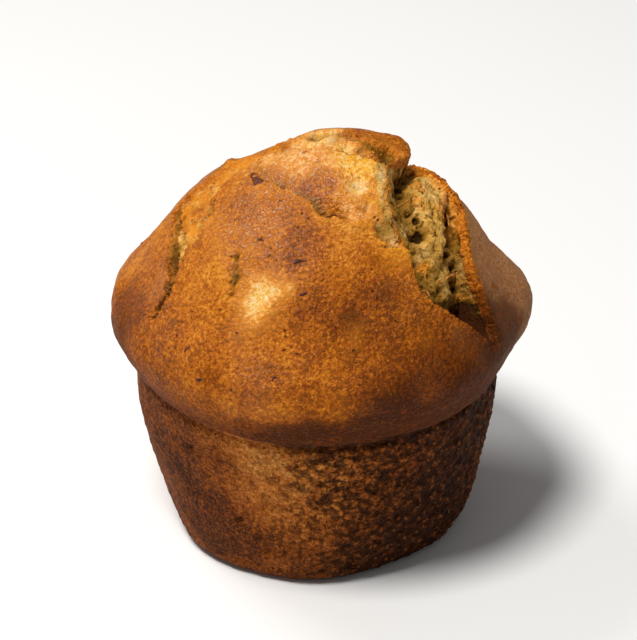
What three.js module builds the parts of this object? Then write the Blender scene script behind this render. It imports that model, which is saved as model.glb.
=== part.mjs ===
// A plain muffin baked in a round tin: a tapered cup that took the tin's shape, a crown that rose out
// of the tin and spilled over its edge, and the splits that opened in the crown's crust as it rose.
// One solid, in millimetres, +Z up, standing on its flat underside at the origin. The front is -Y.
import * as THREE from "three";

// ---- driving sizes ----
const HEIGHT = 77.3; // board to the top of the crown
const BASE_FLAT_R = 25.6; // the flat it stands on
const BASE_WALL_R = 29.3; // the cup's radius where the rounded bottom edge ends
const BASE_EDGE_H = 3.6; // height of that rounded edge
const CUP_TOP_R = 35.1; // the tin's mouth
const CUP_TOP_Z = 34.5; // depth of the tin
const WALL_POWER = 0.68; // below 1 the wall swells out soon above the base
const CREASE_R = 34.6; // the fold where the crown hangs over the cup's wall
const RIM_R = 40.2; // widest ring of the crown
const RIM_Z = 45.8;
const SHOULDER_R = 33.7; // hollow between the spilled rim and the risen top
const SHOULDER_Z = 56.0;
const TOP_SHIFT_X = 2.4; // the crown's top leans to the right of the cup
const CENTRE_Z = 40.0; // the splits are cut towards this height on the axis
const ROW_MM = 3.0; // spacing of the plain body's rings of vertices
const SIDE_MM = 3.1; // spacing of the vertices round a ring
const SPLIT_MM = 0.95; // longest triangle edge in and beside the splits

// A baked thing is not quite round: where it stands out of the plain body or sinks into it, as
// [angle round the body in degrees, height, millimetres outwards]; angle 0 is the front, 90 the right.
const UNEVEN = [
  [76, 41.3, -1.71],
  [91, 47.1, 2.87],
  [110, 50.3, -2.38],
  [130, 66.8, -0.8],
  [139, 73.4, 2.24],
  [176, 74.9, 0.66],
  [-145, 71.7, -1.12],
  [-123, 67.6, 1.42],
  [-110, 60.6, -0.94],
  [-93, 47.2, -0.72],
  [-81, 26.4, 1.14],
  [-84, 14.3, 0.45],
  [-75, 4.8, -0.47],
  [-48, 1.5, 1.0],
  [-25, 0.7, -0.49],
  [-1, 0.7, 1.04],
  [23, 0.7, -1.53],
  [49, 1.5, -0.39],
  [73, 6.0, 0.41],
  [81, 27.4, 0.54],
];
const UNEVEN_SPREAD = { angle: 17, height: 6 };

// ---- the crown's splits ----
// Outlines and paths lie on a plan whose centre is straight up and whose radius is the angle from
// straight up, in degrees: x to the right and y to the back. Depths are in millimetres.

// The main split gapes between the front flap with the risen top, on its left, and the right flap.
const SPLIT_LEFT = [
  [62.0, -46.6],
  [56.1, -45.3],
  [52.3, -45.4],
  [46.9, -46.3],
  [41.4, -46.6],
  [35.4, -45.0],
  [31.3, -42.0],
  [27.8, -37.6],
  [26.4, -33.0],
  [23.6, -28.6],
  [21.0, -24.6],
  [19.8, -19.5],
  [19.6, -12.0],
  [19.8, -4.0],
  [22.0, 4.0],
  [24.5, 11.0],
  [22.5, 19.0],
  [15.5, 27.0],
  [5.0, 34.5],
  [-7.0, 39.5],
  [-20.0, 41.5],
];
const SPLIT_RIGHT = [
  [62.0, -46.6],
  [62.2, -41.0],
  [59.6, -36.6],
  [54.2, -32.0],
  [49.4, -27.0],
  [46.2, -21.5],
  [45.2, -12.8],
  [45.2, -4.1],
  [42.6, 5.0],
  [39.5, 13.0],
  [33.5, 21.0],
  [25.0, 29.0],
  [15.0, 36.0],
  [3.0, 41.5],
  [-9.0, 43.6],
  [-20.0, 41.5],
];
const SPLIT_VALLEY = { across: 0.15, spread: 0.15, depth: 6.6 }; // along the risen top
const SPLIT_RIDGE = { across: 0.47, spread: 0.15, depth: 2.2 }; // torn crumb standing between
const SPLIT_GROOVE = { across: 0.76, spread: 0.13, depth: 6.0 }; // under the right flap
const SPLIT_WALL = 2.3; // degrees from the edge to the full depth
const SPLIT_FULL = 17.0; // the split is this deep only where it is at least this wide, in degrees
const CRUMB_LUMPS = 0.75;
const LIP = { height: 0.7, spread: 2.6 }; // the torn edges curl up

// Narrow splits: [x, y, half width] along a path, deepest near its left or its middle.
const LEFT_SPLIT = {
  depth: 3.0,
  deepest: -0.4,
  path: [
    [-33.0, 17.0, 0.3],
    [-38.5, 9.0, 0.9],
    [-42.0, 3.0, 1.3],
    [-45.0, -2.5, 1.6],
    [-46.2, -9.6, 1.8],
    [-47.0, -17.5, 2.0],
    [-48.2, -23.9, 2.1],
    [-49.7, -29.6, 1.9],
    [-52.2, -33.3, 1.4],
    [-57.2, -36.1, 0.9],
    [-63.0, -38.0, 0.4],
  ],
};
const SECOND_SPLIT = {
  depth: 1.5,
  deepest: 0,
  path: [
    [-36.6, -4.0, 0.4],
    [-37.8, -8.4, 1.1],
    [-38.8, -12.6, 1.4],
    [-39.9, -17.0, 1.2],
    [-41.2, -21.5, 0.4],
  ],
};
const TOP_CREVICE = {
  depth: 2.6,
  deepest: 0.2,
  path: [
    [-13.0, 3.5, 0.6],
    [-5.0, -1.4, 1.7],
    [0.3, -3.4, 2.3],
    [4.0, -3.5, 2.8],
    [9.3, -2.6, 3.1],
    [14.6, -3.8, 3.3],
    [19.5, -7.5, 3.4],
  ],
};
const BACK_SPLIT = {
  depth: 3.2,
  deepest: 0,
  path: [
    [-3.0, 68.0, 0.5],
    [-4.0, 60.0, 2.0],
    [-1.0, 51.0, 3.2],
    [2.0, 43.0, 3.6],
    [4.0, 37.0, 3.0],
  ],
};
const NARROW_SPLITS = [LEFT_SPLIT, SECOND_SPLIT, TOP_CREVICE, BACK_SPLIT];

// The front flap's torn edge stands over the paler risen top behind it.
const FLAP_EDGE = [
  [-22.0, -1.5],
  [-19.6, -5.4],
  [-16.6, -12.0],
  [-12.4, -15.9],
  [-8.4, -19.6],
  [-4.2, -22.8],
  [-1.6, -25.0],
  [0.2, -28.2],
  [3.6, -30.4],
  [8.0, -31.4],
  [12.2, -31.2],
  [16.0, -30.4],
  [19.6, -32.2],
  [22.6, -34.8],
  [26.6, -35.6],
];
const STEP = { depth: 1.7, wall: 1.6, spread: 7.0 };

const HOLLOWS = [
  // [x, y, radius, depth]
  [9.2, -17.0, 4.4, 1.2],
  [12.8, -24.0, 2.8, 0.8],
  [-26.6, -36.6, 2.6, 0.8],
  [-29.3, -46.5, 2.2, 0.6],
  [36.0, 14.0, 11.0, 2.4],
];
const SWELLS = [
  // [x, y, radius, height]
  [-22.0, -31.0, 17.0, 0.6],
  [20.0, -55.0, 20.0, 0.5],
];

// ---- small helpers ----
const clamp01 = (x) => Math.min(1, Math.max(0, x));
const smooth = (a, b, x) => {
  const t = clamp01((x - a) / (b - a));
  return t * t * (3 - 2 * t);
};
const bell = (x, spread) => Math.exp(-(x * x) / (2 * spread * spread));
const degrees = THREE.MathUtils.radToDeg;

// The nearest point of a path to (x, y): how far it is, how far along the path it lies (0 to 1), on
// which side (1 to the right of the path's run, -1 to the left), and the half width there.
function nearest(path, x, y) {
  let best = { gap: Infinity };
  for (let i = 0; i + 1 < path.length; i++) {
    const [ax, ay, aw = 0] = path[i];
    const [bx, by, bw = 0] = path[i + 1];
    const dx = bx - ax;
    const dy = by - ay;
    const t = clamp01(((x - ax) * dx + (y - ay) * dy) / (dx * dx + dy * dy));
    const ox = x - ax - dx * t;
    const oy = y - ay - dy * t;
    const gap = Math.hypot(ox, oy);
    if (gap < best.gap)
      best = {
        gap,
        along: (i + t) / (path.length - 1),
        side: dx * oy - dy * ox > 0 ? -1 : 1,
        half: aw + (bw - aw) * t,
      };
  }
  return best;
}

function within(outline, x, y) {
  let inside = false;
  for (let i = 0, j = outline.length - 1; i < outline.length; j = i++) {
    const [xi, yi] = outline[i];
    const [xj, yj] = outline[j];
    if (yi > y !== yj > y && x < ((xj - xi) * (y - yi)) / (yj - yi) + xi)
      inside = !inside;
  }
  return inside;
}

// ---- the body's outline, from the underside's edge to the top, as [radius, height] ----
function cupOutline() {
  const rows = [];
  const steps = 3;
  for (let i = 0; i <= steps; i++) {
    const a = (i / steps) * (Math.PI / 2);
    rows.push([
      BASE_FLAT_R + (BASE_WALL_R - BASE_FLAT_R) * Math.sin(a),
      BASE_EDGE_H * (1 - Math.cos(a)),
    ]);
  }
  const rise = CUP_TOP_Z - BASE_EDGE_H;
  const wall = Math.round(rise / ROW_MM);
  for (let i = 1; i < wall; i++) {
    const t = i / wall;
    rows.push([
      BASE_WALL_R + (CUP_TOP_R - BASE_WALL_R) * t ** WALL_POWER,
      BASE_EDGE_H + rise * t,
    ]);
  }
  rows.push([CREASE_R, CUP_TOP_Z]);
  return rows;
}

function crownOutline() {
  const knots = [
    [CREASE_R, CUP_TOP_Z],
    [CREASE_R + 2.2, CUP_TOP_Z + 1.9],
    [RIM_R - 1.4, CUP_TOP_Z + 5.6],
    [RIM_R - 0.3, RIM_Z - 2.6],
    [RIM_R, RIM_Z],
    [RIM_R - 0.9, RIM_Z + 3.2],
    [RIM_R - 3.4, RIM_Z + 6.5],
    [SHOULDER_R, SHOULDER_Z],
    [SHOULDER_R - 2.8, SHOULDER_Z + 4.0],
    [27.3, SHOULDER_Z + 8.4],
    [22.2, HEIGHT - 8.4],
    [15.6, HEIGHT - 4.3],
    [8.5, HEIGHT - 1.3],
    [0, HEIGHT],
  ].map(([r, z]) => new THREE.Vector2(r, z));
  const curve = new THREE.SplineCurve(knots);
  const rows = Math.round(curve.getLength() / ROW_MM);
  return curve
    .getSpacedPoints(rows)
    .slice(1, -1)
    .map((p) => [p.x, p.y]);
}

// A point of the plain body: ring (r, z) at angle a round it, 0 at the front and growing rightwards.
function bodyPoint(r, z, a) {
  const crown = smooth(CUP_TOP_Z - 1, CUP_TOP_Z + 4, z);
  const round =
    1 +
    crown * (0.011 * Math.cos(3 * a - 0.6) + 0.007 * Math.cos(5 * a + 1.9)) +
    (1 - crown) *
      (0.006 * Math.cos(2 * a - 0.9) + 0.003 * Math.cos(3 * a + 0.4));
  // The fold under the rim wanders up and down round the cup.
  const wander =
    bell(z - CUP_TOP_Z - 2, 6) *
    (0.55 * Math.cos(2 * a + 2.5) + 0.45 * Math.cos(3 * a - 2.2));
  const lean =
    -0.5 +
    TOP_SHIFT_X * smooth(SHOULDER_Z, HEIGHT, z) +
    0.3 * smooth(40, 48, z);
  return new THREE.Vector3(
    lean + r * round * Math.sin(a),
    -r * round * Math.cos(a),
    z > 0 ? z + wander : 0,
  );
}

// Outwards from the axis on the cup, and from the crown's centre on the crown.
function outwards(p) {
  return new THREE.Vector3(
    p.x,
    p.y,
    Math.max(0, p.z - CENTRE_Z),
  ).normalize();
}

function uneven(p) {
  const around = degrees(Math.atan2(p.x, -p.y));
  const r = Math.hypot(p.x, p.y);
  const near = Math.min(1, r / 30); // an angle means less and less towards the axis
  let d = 0;
  for (const [angle, z, amount] of UNEVEN) {
    const turn = ((around - angle + 540) % 360) - 180;
    d +=
      amount *
      bell(turn * near, UNEVEN_SPREAD.angle) *
      bell(p.z - z, UNEVEN_SPREAD.height);
  }
  return p.z < CENTRE_Z ? d * smooth(2, 22, r) : d;
}

// ---- how far the crown's surface stands out of the plain body, at a point of the plan ----
const splitOutline = [...SPLIT_LEFT, ...[...SPLIT_RIGHT].reverse()];
const topOutline = [
  ...FLAP_EDGE,
  [23.6, -28.6],
  [19.8, -19.5],
  [19.5, -7.5],
  [9.3, -2.6],
  [0.3, -3.4],
  [-13.0, 3.5],
];

// Lumps of torn crumb.
const lumps = (x, y) =>
  (Math.sin(0.95 * x + 0.4 * y) * Math.sin(0.8 * y - 0.3 * x + 1) +
    0.7 * Math.sin(1.7 * x - 0.9 * y + 2) * Math.sin(1.3 * y + 0.7 * x)) *
  CRUMB_LUMPS;

// A torn edge is never straight.
function torn(x, y) {
  return [
    x + 0.55 * Math.sin(0.9 * y + 0.5) + 0.4 * Math.sin(1.9 * y + 0.7 * x),
    y + 0.55 * Math.sin(0.8 * x + 1.5) + 0.4 * Math.sin(1.7 * x - 0.6 * y),
  ];
}

function mainSplit(x, y) {
  const left = nearest(SPLIT_LEFT, x, y).gap;
  const right = nearest(SPLIT_RIGHT, x, y).gap;
  const edge = Math.min(left, right);
  const width = left + right;
  const open = clamp01(width / SPLIT_FULL);
  if (!within(splitOutline, x, y))
    return LIP.height * open * bell(edge, LIP.spread);
  const across = left / width;
  const floor =
    SPLIT_RIDGE.depth +
    (SPLIT_VALLEY.depth - SPLIT_RIDGE.depth) *
      bell(across - SPLIT_VALLEY.across, SPLIT_VALLEY.spread) +
    (SPLIT_GROOVE.depth - SPLIT_RIDGE.depth) *
      bell(across - SPLIT_GROOVE.across, SPLIT_GROOVE.spread) +
    lumps(x, y) * bell(across - SPLIT_RIDGE.across, 0.22);
  const wall = smooth(0, Math.min(SPLIT_WALL, width * 0.4), edge);
  return LIP.height * open * (1 - wall) - floor * open * wall;
}

function narrowSplit({ path, depth, deepest }, x, y) {
  const { gap, side, half } = nearest(path, x, y);
  const across = (side * gap) / half;
  if (Math.abs(across) > 1.6) return 0;
  const wall =
    1 -
    (across < deepest
      ? smooth(0, 1 + deepest + 0.15, deepest - across)
      : smooth(0, 1 - deepest + 0.15, across - deepest));
  return -depth * wall * clamp01(half / 2);
}

function relief(px, py) {
  const [x, y] = torn(px, py);
  const open = mainSplit(x, y);
  let d = open;
  for (const split of NARROW_SPLITS)
    d = Math.min(d, narrowSplit(split, x, y) + Math.min(0, open) * 0.3);
  if (open >= 0 && within(topOutline, x, y)) {
    const { gap } = nearest(FLAP_EDGE, x, y);
    d -= STEP.depth * smooth(0, STEP.wall, gap) * bell(gap, STEP.spread);
  } else if (open >= 0) {
    d += 0.35 * bell(nearest(FLAP_EDGE, x, y).gap, 3);
  }
  for (const [hx, hy, r, depth] of HOLLOWS)
    d -= depth * bell(Math.hypot(x - hx, y - hy), r * 0.6);
  for (const [hx, hy, r, height] of SWELLS)
    d += height * bell(Math.hypot(x - hx, y - hy), r * 0.6);
  return d;
}

// The plan point of a point of the body, and whether it is on the crown at all.
function planOf(p) {
  const up = p.z - CENTRE_Z;
  const around = Math.hypot(p.x, p.y);
  const fall = degrees(Math.atan2(around, up));
  const k = around > 0 ? fall / around : 0;
  return { x: k * p.x, y: k * p.y, fall };
}

function shape(p) {
  const { x, y, fall } = planOf(p);
  const carved = fall < 88 ? relief(x, y) * (1 - smooth(76, 88, fall)) : 0;
  return p.clone().addScaledVector(outwards(p), uneven(p) + carved);
}

// How long a triangle's edge may be at a point of the plain body: short in and beside the splits.
function longest(p) {
  const { x, y, fall } = planOf(p);
  if (fall > 80) return Infinity;
  if (within(splitOutline, x, y)) return SPLIT_MM * 1.25;
  const gaps = [
    nearest(SPLIT_LEFT, x, y).gap,
    nearest(SPLIT_RIGHT, x, y).gap,
    nearest(FLAP_EDGE, x, y).gap,
  ];
  for (const { path } of NARROW_SPLITS) {
    const { gap, half } = nearest(path, x, y);
    gaps.push(Math.max(0, gap - half));
  }
  return SPLIT_MM * (1 + Math.max(0, Math.min(...gaps) - 0.8) * 0.55);
}

// ---- the mesh ----
// Rings of vertices, each with as many as its size asks for, joined ring to ring.
function plainBody() {
  const points = [];
  const faces = [];
  const add = (p) => points.push(p) - 1;
  const ringOf = ([r, z]) => {
    const n = Math.max(6, Math.round((2 * Math.PI * r) / SIDE_MM));
    return Array.from({ length: n }, (_, i) =>
      add(bodyPoint(r, z, (i / n) * 2 * Math.PI)),
    );
  };
  const rings = [...cupOutline(), ...crownOutline()].map(ringOf);
  for (let k = 0; k + 1 < rings.length; k++) {
    const low = rings[k];
    const high = rings[k + 1];
    for (let i = 0, j = 0; i < low.length || j < high.length; ) {
      const a = low[i % low.length];
      const b = high[j % high.length];
      const stepLow =
        j >= high.length ||
        (i < low.length && (i + 1) / low.length <= (j + 1) / high.length);
      if (stepLow) faces.push([a, low[++i % low.length], b]);
      else faces.push([a, high[++j % high.length], b]);
    }
  }
  const underside = add(new THREE.Vector3(-0.5, 0, 0));
  const first = rings[0];
  first.forEach((v, i) =>
    faces.push([underside, first[(i + 1) % first.length], v]),
  );
  const apex = add(bodyPoint(0, HEIGHT, 0));
  const last = rings[rings.length - 1];
  last.forEach((v, i) => faces.push([apex, v, last[(i + 1) % last.length]]));
  return { points, faces };
}

// Halve every edge that is too long for its place, and divide its triangles to suit.
function refine({ points, faces }) {
  const middles = new Map();
  const middle = (a, b) => {
    const key = Math.min(a, b) * 1e6 + Math.max(a, b);
    if (!middles.has(key)) {
      const m = points[a].clone().add(points[b]).multiplyScalar(0.5);
      const tooLong = points[a].distanceTo(points[b]) > 1.4 * longest(m);
      middles.set(key, tooLong ? points.push(m) - 1 : -1);
    }
    return middles.get(key);
  };
  const out = [];
  for (const [a, b, c] of faces) {
    const ab = middle(a, b);
    const bc = middle(b, c);
    const ca = middle(c, a);
    // turn the triangle so that the halved edges come first
    const turns = [
      [a, b, c, ab, bc, ca],
      [b, c, a, bc, ca, ab],
      [c, a, b, ca, ab, bc],
    ];
    const halved = (ab >= 0) + (bc >= 0) + (ca >= 0);
    if (halved === 0) out.push([a, b, c]);
    else if (halved === 3)
      out.push([a, ab, ca], [ab, b, bc], [ca, bc, c], [ab, bc, ca]);
    else if (halved === 1) {
      const [u, v, w, uv] = turns.find((t) => t[3] >= 0);
      out.push([u, uv, w], [uv, v, w]);
    } else {
      const [u, v, w, uv, vw] = turns.find((t) => t[5] < 0);
      out.push([uv, v, vw]);
      if (
        points[u].distanceTo(points[vw]) < points[w].distanceTo(points[uv])
      )
        out.push([u, uv, vw], [u, vw, w]);
      else out.push([u, uv, w], [uv, vw, w]);
    }
  }
  return { points, faces: out };
}

function muffinGeometry() {
  let body = plainBody();
  for (let pass = 0; pass < 3; pass++) body = refine(body);
  const g = new THREE.BufferGeometry();
  g.setAttribute(
    "position",
    new THREE.Float32BufferAttribute(
      body.points.flatMap((p) => shape(p).toArray()),
      3,
    ),
  );
  g.setIndex(body.faces.flat());
  // The origin is under the middle of the body's plan.
  g.computeBoundingBox();
  const middle = g.boundingBox.getCenter(new THREE.Vector3());
  g.translate(-middle.x, -middle.y, 0);
  g.computeVertexNormals();
  return g;
}

const crust = new THREE.MeshStandardMaterial({
  color: new THREE.Color().setRGB(0.62, 0.34, 0.13, THREE.SRGBColorSpace),
  roughness: 0.62,
  metalness: 0,
});

const group = new THREE.Group();
const muffin = new THREE.Mesh(muffinGeometry(), crust);
muffin.name = "muffin";
group.add(muffin);

export default group;
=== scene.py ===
import math

import bpy
import numpy as np
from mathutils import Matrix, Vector


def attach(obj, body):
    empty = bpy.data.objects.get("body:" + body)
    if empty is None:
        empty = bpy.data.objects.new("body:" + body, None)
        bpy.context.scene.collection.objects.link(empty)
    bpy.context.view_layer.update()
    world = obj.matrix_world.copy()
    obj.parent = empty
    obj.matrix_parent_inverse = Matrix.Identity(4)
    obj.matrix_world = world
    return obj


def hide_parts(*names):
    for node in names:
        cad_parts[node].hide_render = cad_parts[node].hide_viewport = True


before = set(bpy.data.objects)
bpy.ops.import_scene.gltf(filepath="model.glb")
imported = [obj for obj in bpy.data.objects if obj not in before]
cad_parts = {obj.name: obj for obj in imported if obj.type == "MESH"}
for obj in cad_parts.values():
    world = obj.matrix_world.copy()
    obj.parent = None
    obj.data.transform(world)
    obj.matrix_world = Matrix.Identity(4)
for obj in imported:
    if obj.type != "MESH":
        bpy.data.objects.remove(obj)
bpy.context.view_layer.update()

# ---------------------------------------------------------------------------------------------
# The plain body: the same sizes and the same plan of the splits as the CAD part, in millimetres.
# ---------------------------------------------------------------------------------------------
HEIGHT = 77.3
BASE_FLAT_R = 25.6
BASE_WALL_R = 29.3
BASE_EDGE_H = 3.6
CUP_TOP_R = 35.1
CUP_TOP_Z = 34.5
WALL_POWER = 0.68
CREASE_R = 34.6
RIM_R = 40.2
RIM_Z = 45.8
SHOULDER_R = 33.7
SHOULDER_Z = 56.0
TOP_SHIFT_X = 2.4
CENTRE_Z = 40.0
MIDDLE = (-0.04, -0.28)  # the CAD part is moved so that its plan is centred on the origin

UNEVEN = [
    (76, 41.3, -1.71), (91, 47.1, 2.87), (110, 50.3, -2.38), (130, 66.8, -0.8), (139, 73.4, 2.24),
    (176, 74.9, 0.66), (-145, 71.7, -1.12), (-123, 67.6, 1.42), (-110, 60.6, -0.94), (-93, 47.2, -0.72),
    (-81, 26.4, 1.14), (-84, 14.3, 0.45), (-75, 4.8, -0.47), (-48, 1.5, 1.0), (-25, 0.7, -0.49),
    (-1, 0.7, 1.04), (23, 0.7, -1.53), (49, 1.5, -0.39), (73, 6.0, 0.41), (81, 27.4, 0.54),
]
UNEVEN_ANGLE, UNEVEN_HEIGHT = 17.0, 6.0

# Plan of the crown: radius is the angle from straight up, in degrees; x right, y back.
SPLIT_LEFT = [
    (62.0, -46.6), (57.6, -46.9), (53.0, -47.6), (47.5, -48.1), (42.0, -48.3), (36.4, -47.8),
    (31.4, -46.0), (28.4, -43.2), (25.6, -39.0), (22.6, -32.4), (20.6, -26.0), (19.2, -21.0),
    (18.5, -14.0), (17.4, -8.0), (19.8, -3.8), (23.4, 0.8), (24.9, 4.6), (25.5, 9.0), (25.0, 13.0), (23.6, 18.6),
    (16.2, 26.6), (5.0, 34.5), (-7.0, 39.5), (-20.0, 41.5),
]
SPLIT_RIGHT = [
    (62.0, -46.6), (63.4, -42.0), (61.0, -37.6), (57.0, -31.8), (52.6, -26.2), (49.2, -20.4),
    (47.2, -12.8), (45.4, -4.1), (41.4, 4.2), (36.5, 9.0), (32.6, 13.0), (31.0, 21.0), (25.0, 29.0),
    (15.0, 36.0), (3.0, 41.5), (-9.0, 43.6), (-20.0, 41.5),
]
VALLEY = [
    (-18.0, 41.6), (-7.0, 41.0), (5.0, 37.4), (17.0, 30.0), (26.0, 21.0), (28.4, 12.0), (26.5, 4.0),
    (25.0, -3.0), (25.2, -9.0), (26.2, -15.0), (28.0, -20.5), (30.6, -25.5), (31.5, -30.5),
    (33.6, -36.5), (37.4, -41.6), (45.0, -43.8), (53.0, -44.4), (60.5, -46.0),
]
BLOCK = [
    (30.5, 6.0), (28.0, 0.0), (28.2, -6.9), (29.0, -13.0), (28.8, -18.0), (30.4, -22.2), (33.4, -23.6),
    (33.2, -27.6), (35.4, -32.0), (39.5, -36.2), (45.0, -39.6), (49.0, -41.2), (49.4, -37.6),
    (46.6, -33.4), (43.6, -30.0), (42.2, -25.6), (42.6, -20.6), (41.8, -15.5), (40.6, -10.0),
    (42.0, -3.0), (38.5, 3.5),
]
BAND = [
    (-61.8, -37.9), (-59.0, -37.2), (-56.0, -35.4), (-53.2, -34.6), (-52.8, -31.6), (-52.0, -25.2),
    (-50.4, -19.8), (-48.3, -14.0), (-48.0, -3.2), (-45.9, 3.9), (-41.3, 5.8), (-35.9, 7.4),
    (-28.2, 8.4), (-21.7, 9.6), (-13.6, 9.2), (-8.2, 7.8), (-9.0, 5.2), (-14.0, 4.2), (-20.5, 1.2),
    (-26.1, -0.4), (-30.8, -3.1), (-34.5, -7.1), (-35.0, -11.3), (-37.4, -16.0), (-39.9, -22.4),
    (-43.6, -24.6), (-47.3, -27.2), (-49.0, -31.0), (-51.8, -34.6), (-56.0, -36.6),
]
CRACK = [  # the wall on its outer side, with the crack's width in degrees
    (-38.0, 6.6, 0.0), (-44.0, 4.6, 0.3), (-47.0, 1.8, 0.9), (-48.2, -3.2, 1.3),
    (-48.8, -9.0, 1.8), (-49.8, -14.0, 3.0), (-50.8, -19.8, 4.1), (-51.4, -25.2, 4.0),
    (-52.4, -30.6, 3.0), (-54.0, -34.0, 1.8), (-56.6, -36.0, 1.3), (-59.4, -37.3, 0.9), (-62.2, -38.0, 0.3),
]
SECOND_SPLIT = [
    (-33.4, -6.6, 0.4), (-35.4, -9.6, 1.3), (-36.6, -12.6, 1.9), (-38.2, -15.6, 1.5), (-40.0, -18.6, 1.3), (-41.8, -22.0, 0.4),
]
TOP_CREVICE = [
    (-13.0, 3.2, 0.4), (-5.0, -0.6, 0.9), (0.3, -2.4, 1.2), (4.0, -2.9, 1.3), (9.3, -3.2, 1.4),
    (14.6, -4.2, 1.7), (19.0, -6.4, 2.2),
]
BACK_SPLIT = [
    (-3.0, 68.0, 0.5), (-4.0, 60.0, 2.0), (-1.0, 51.0, 3.2), (2.0, 43.0, 3.6), (4.0, 37.0, 3.0),
]
CREST_EDGE = [
    (-13.0, 9.4), (-10.0, 8.8), (-5.8, 8.2), (-0.2, 8.6), (4.4, 8.4), (8.6, 6.6), (11.6, 4.0),
    (16.0, 3.4), (19.5, 4.0), (22.0, 1.8), (23.4, 1.0),
]
FLAP_EDGE = [
    (-22.0, -1.5), (-19.4, -5.0), (-17.0, -8.9), (-12.1, -15.9), (-7.2, -20.8), (-3.2, -23.3),
    (-1.2, -27.1), (1.6, -29.8), (4.3, -29.4), (6.4, -30.7), (8.9, -31.9), (13.5, -29.9),
    (16.2, -30.7), (17.6, -34.1), (20.3, -36.4), (23.7, -36.4), (25.8, -37.6),
]
SPLIT_OUTLINE = SPLIT_LEFT + SPLIT_RIGHT[::-1]
TOP_OUTLINE = FLAP_EDGE + [
    (22.6, -32.4), (20.0, -21.0), (19.0, -6.4), (9.3, -3.2), (0.3, -2.4), (-13.0, 3.2),
]
CREST_LUMPS = CREST_EDGE + [(20.6, -3.4), (19.0, -6.4), (14.6, -4.2), (9.3, -3.2), (0.3, -2.4), (-5.0, -0.6), (-13.0, 3.2)]
MM_PER_DEGREE = 0.68
# deep places in the split: x, y, radius in degrees, depth in mm
POCKETS = [
    (23.4, -11.0, 3.0, 1.2), (22.6, -4.4, 2.6, 1.2), (25.6, -0.8, 3.4, 1.7), (25.4, 3.8, 2.8, 1.3), (23.4, 6.2, 2.2, 0.9), (26.8, -6.0, 2.6, 1.4), (28.8, -15.1, 1.7, 2.0),
    (30.6, -18.1, 1.8, 2.2), (32.5, -23.1, 2.5, 2.4), (29.4, -11.0, 1.1, 1.1), (29.9, -14.0, 1.2, 1.0), (36.0, -13.3, 0.9, 0.9),
    (38.2, -21.0, 0.8, 0.8), (34.6, -9.0, 0.8, 0.7), (37.2, -26.6, 0.9, 0.7), (42.0, -4.2, 1.4, 2.0), (43.9, -6.4, 1.3, 1.8),
    (43.9, -16.7, 1.4, 1.6), (44.2, -23.1, 1.4, 1.5), (48.2, -18.2, 2.2, 1.8), (48.6, -24.6, 1.8, 1.6), (53.0, -31.0, 1.7, 2.4),
    (49.6, -31.5, 1.5, 1.6), (33.4, -36.6, 2.6, 1.6), (36.2, -39.2, 2.0, 1.0), (39.0, -36.2, 1.0, 1.1), (44.0, -38.8, 1.2, 0.9),
    (57.4, -35.0, 2.2, 1.6), (58.6, -39.0, 2.6, 2.0), (60.4, -42.6, 2.4, 1.8), (54.0, -42.0, 2.2, 1.2), (41.6, 6.4, 1.3, 0.8),
    (39.6, -0.9, 1.2, 1.0), (31.0, 0.4, 1.0, 0.8),
]
# crumb browned orange: x, y, radius in degrees, amount
ORANGE = [
    (36.1, -34.4, 1.8, 1.0), (29.2, -2.4, 1.8, 0.9), (31.8, -3.6, 2.0, 0.8), (30.6, -11.2, 2.0, 0.7), (32.2, -13.6, 1.6, 0.6),
    (34.0, 1.5, 2.4, 0.5), (38.5, -7.5, 2.6, 0.6), (41.5, -9.0, 2.0, 0.5), (44.6, -3.0, 3.4, 0.8), (42.5, 1.5, 3.2, 0.6),
    (46.0, -10.0, 3.0, 0.7), (45.6, -14.0, 2.2, 0.5), (46.8, -20.0, 2.2, 0.6), (51.5, -28.5, 2.4, 0.5), (55.6, -34.0, 2.6, 0.6),
    (58.4, -38.0, 2.2, 0.5), (31.4, -24.4, 1.6, 0.3), (37.5, 5.5, 2.4, 0.5), (33.5, 9.5, 2.0, 0.4),
]


def smooth(a, b, x):
    t = np.clip((x - a) / (b - a), 0.0, 1.0)
    return t * t * (3 - 2 * t)


def bell(x, s):
    return np.exp(-(x * x) / (2 * s * s))


def nearest(path, x, y):
    """Gap to a path, how far along it (0 to 1), the side (1 right, -1 left) and the half width there."""
    best = np.full(x.shape, 1e9)
    along = np.zeros(x.shape)
    side = np.ones(x.shape)
    half = np.zeros(x.shape)
    n = len(path) - 1
    for i in range(n):
        a, b = path[i], path[i + 1]
        aw = a[2] if len(a) > 2 else 0.0
        bw = b[2] if len(b) > 2 else 0.0
        dx, dy = b[0] - a[0], b[1] - a[1]
        t = np.clip(((x - a[0]) * dx + (y - a[1]) * dy) / (dx * dx + dy * dy), 0, 1)
        ox, oy = x - a[0] - dx * t, y - a[1] - dy * t
        g = np.hypot(ox, oy)
        m = g < best
        best = np.where(m, g, best)
        along = np.where(m, (i + t) / n, along)
        side = np.where(m, np.where(dx * oy - dy * ox > 0, -1.0, 1.0), side)
        half = np.where(m, aw + (bw - aw) * t, half)
    return best, along, side, half


def within(poly, x, y):
    inside = np.zeros(x.shape, bool)
    j = len(poly) - 1
    for i in range(len(poly)):
        xi, yi = poly[i][:2]
        xj, yj = poly[j][:2]
        if yi != yj:
            inside ^= ((yi > y) != (yj > y)) & (x < (xj - xi) * (y - yi) / (yj - yi) + xi)
        j = i
    return inside


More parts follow.
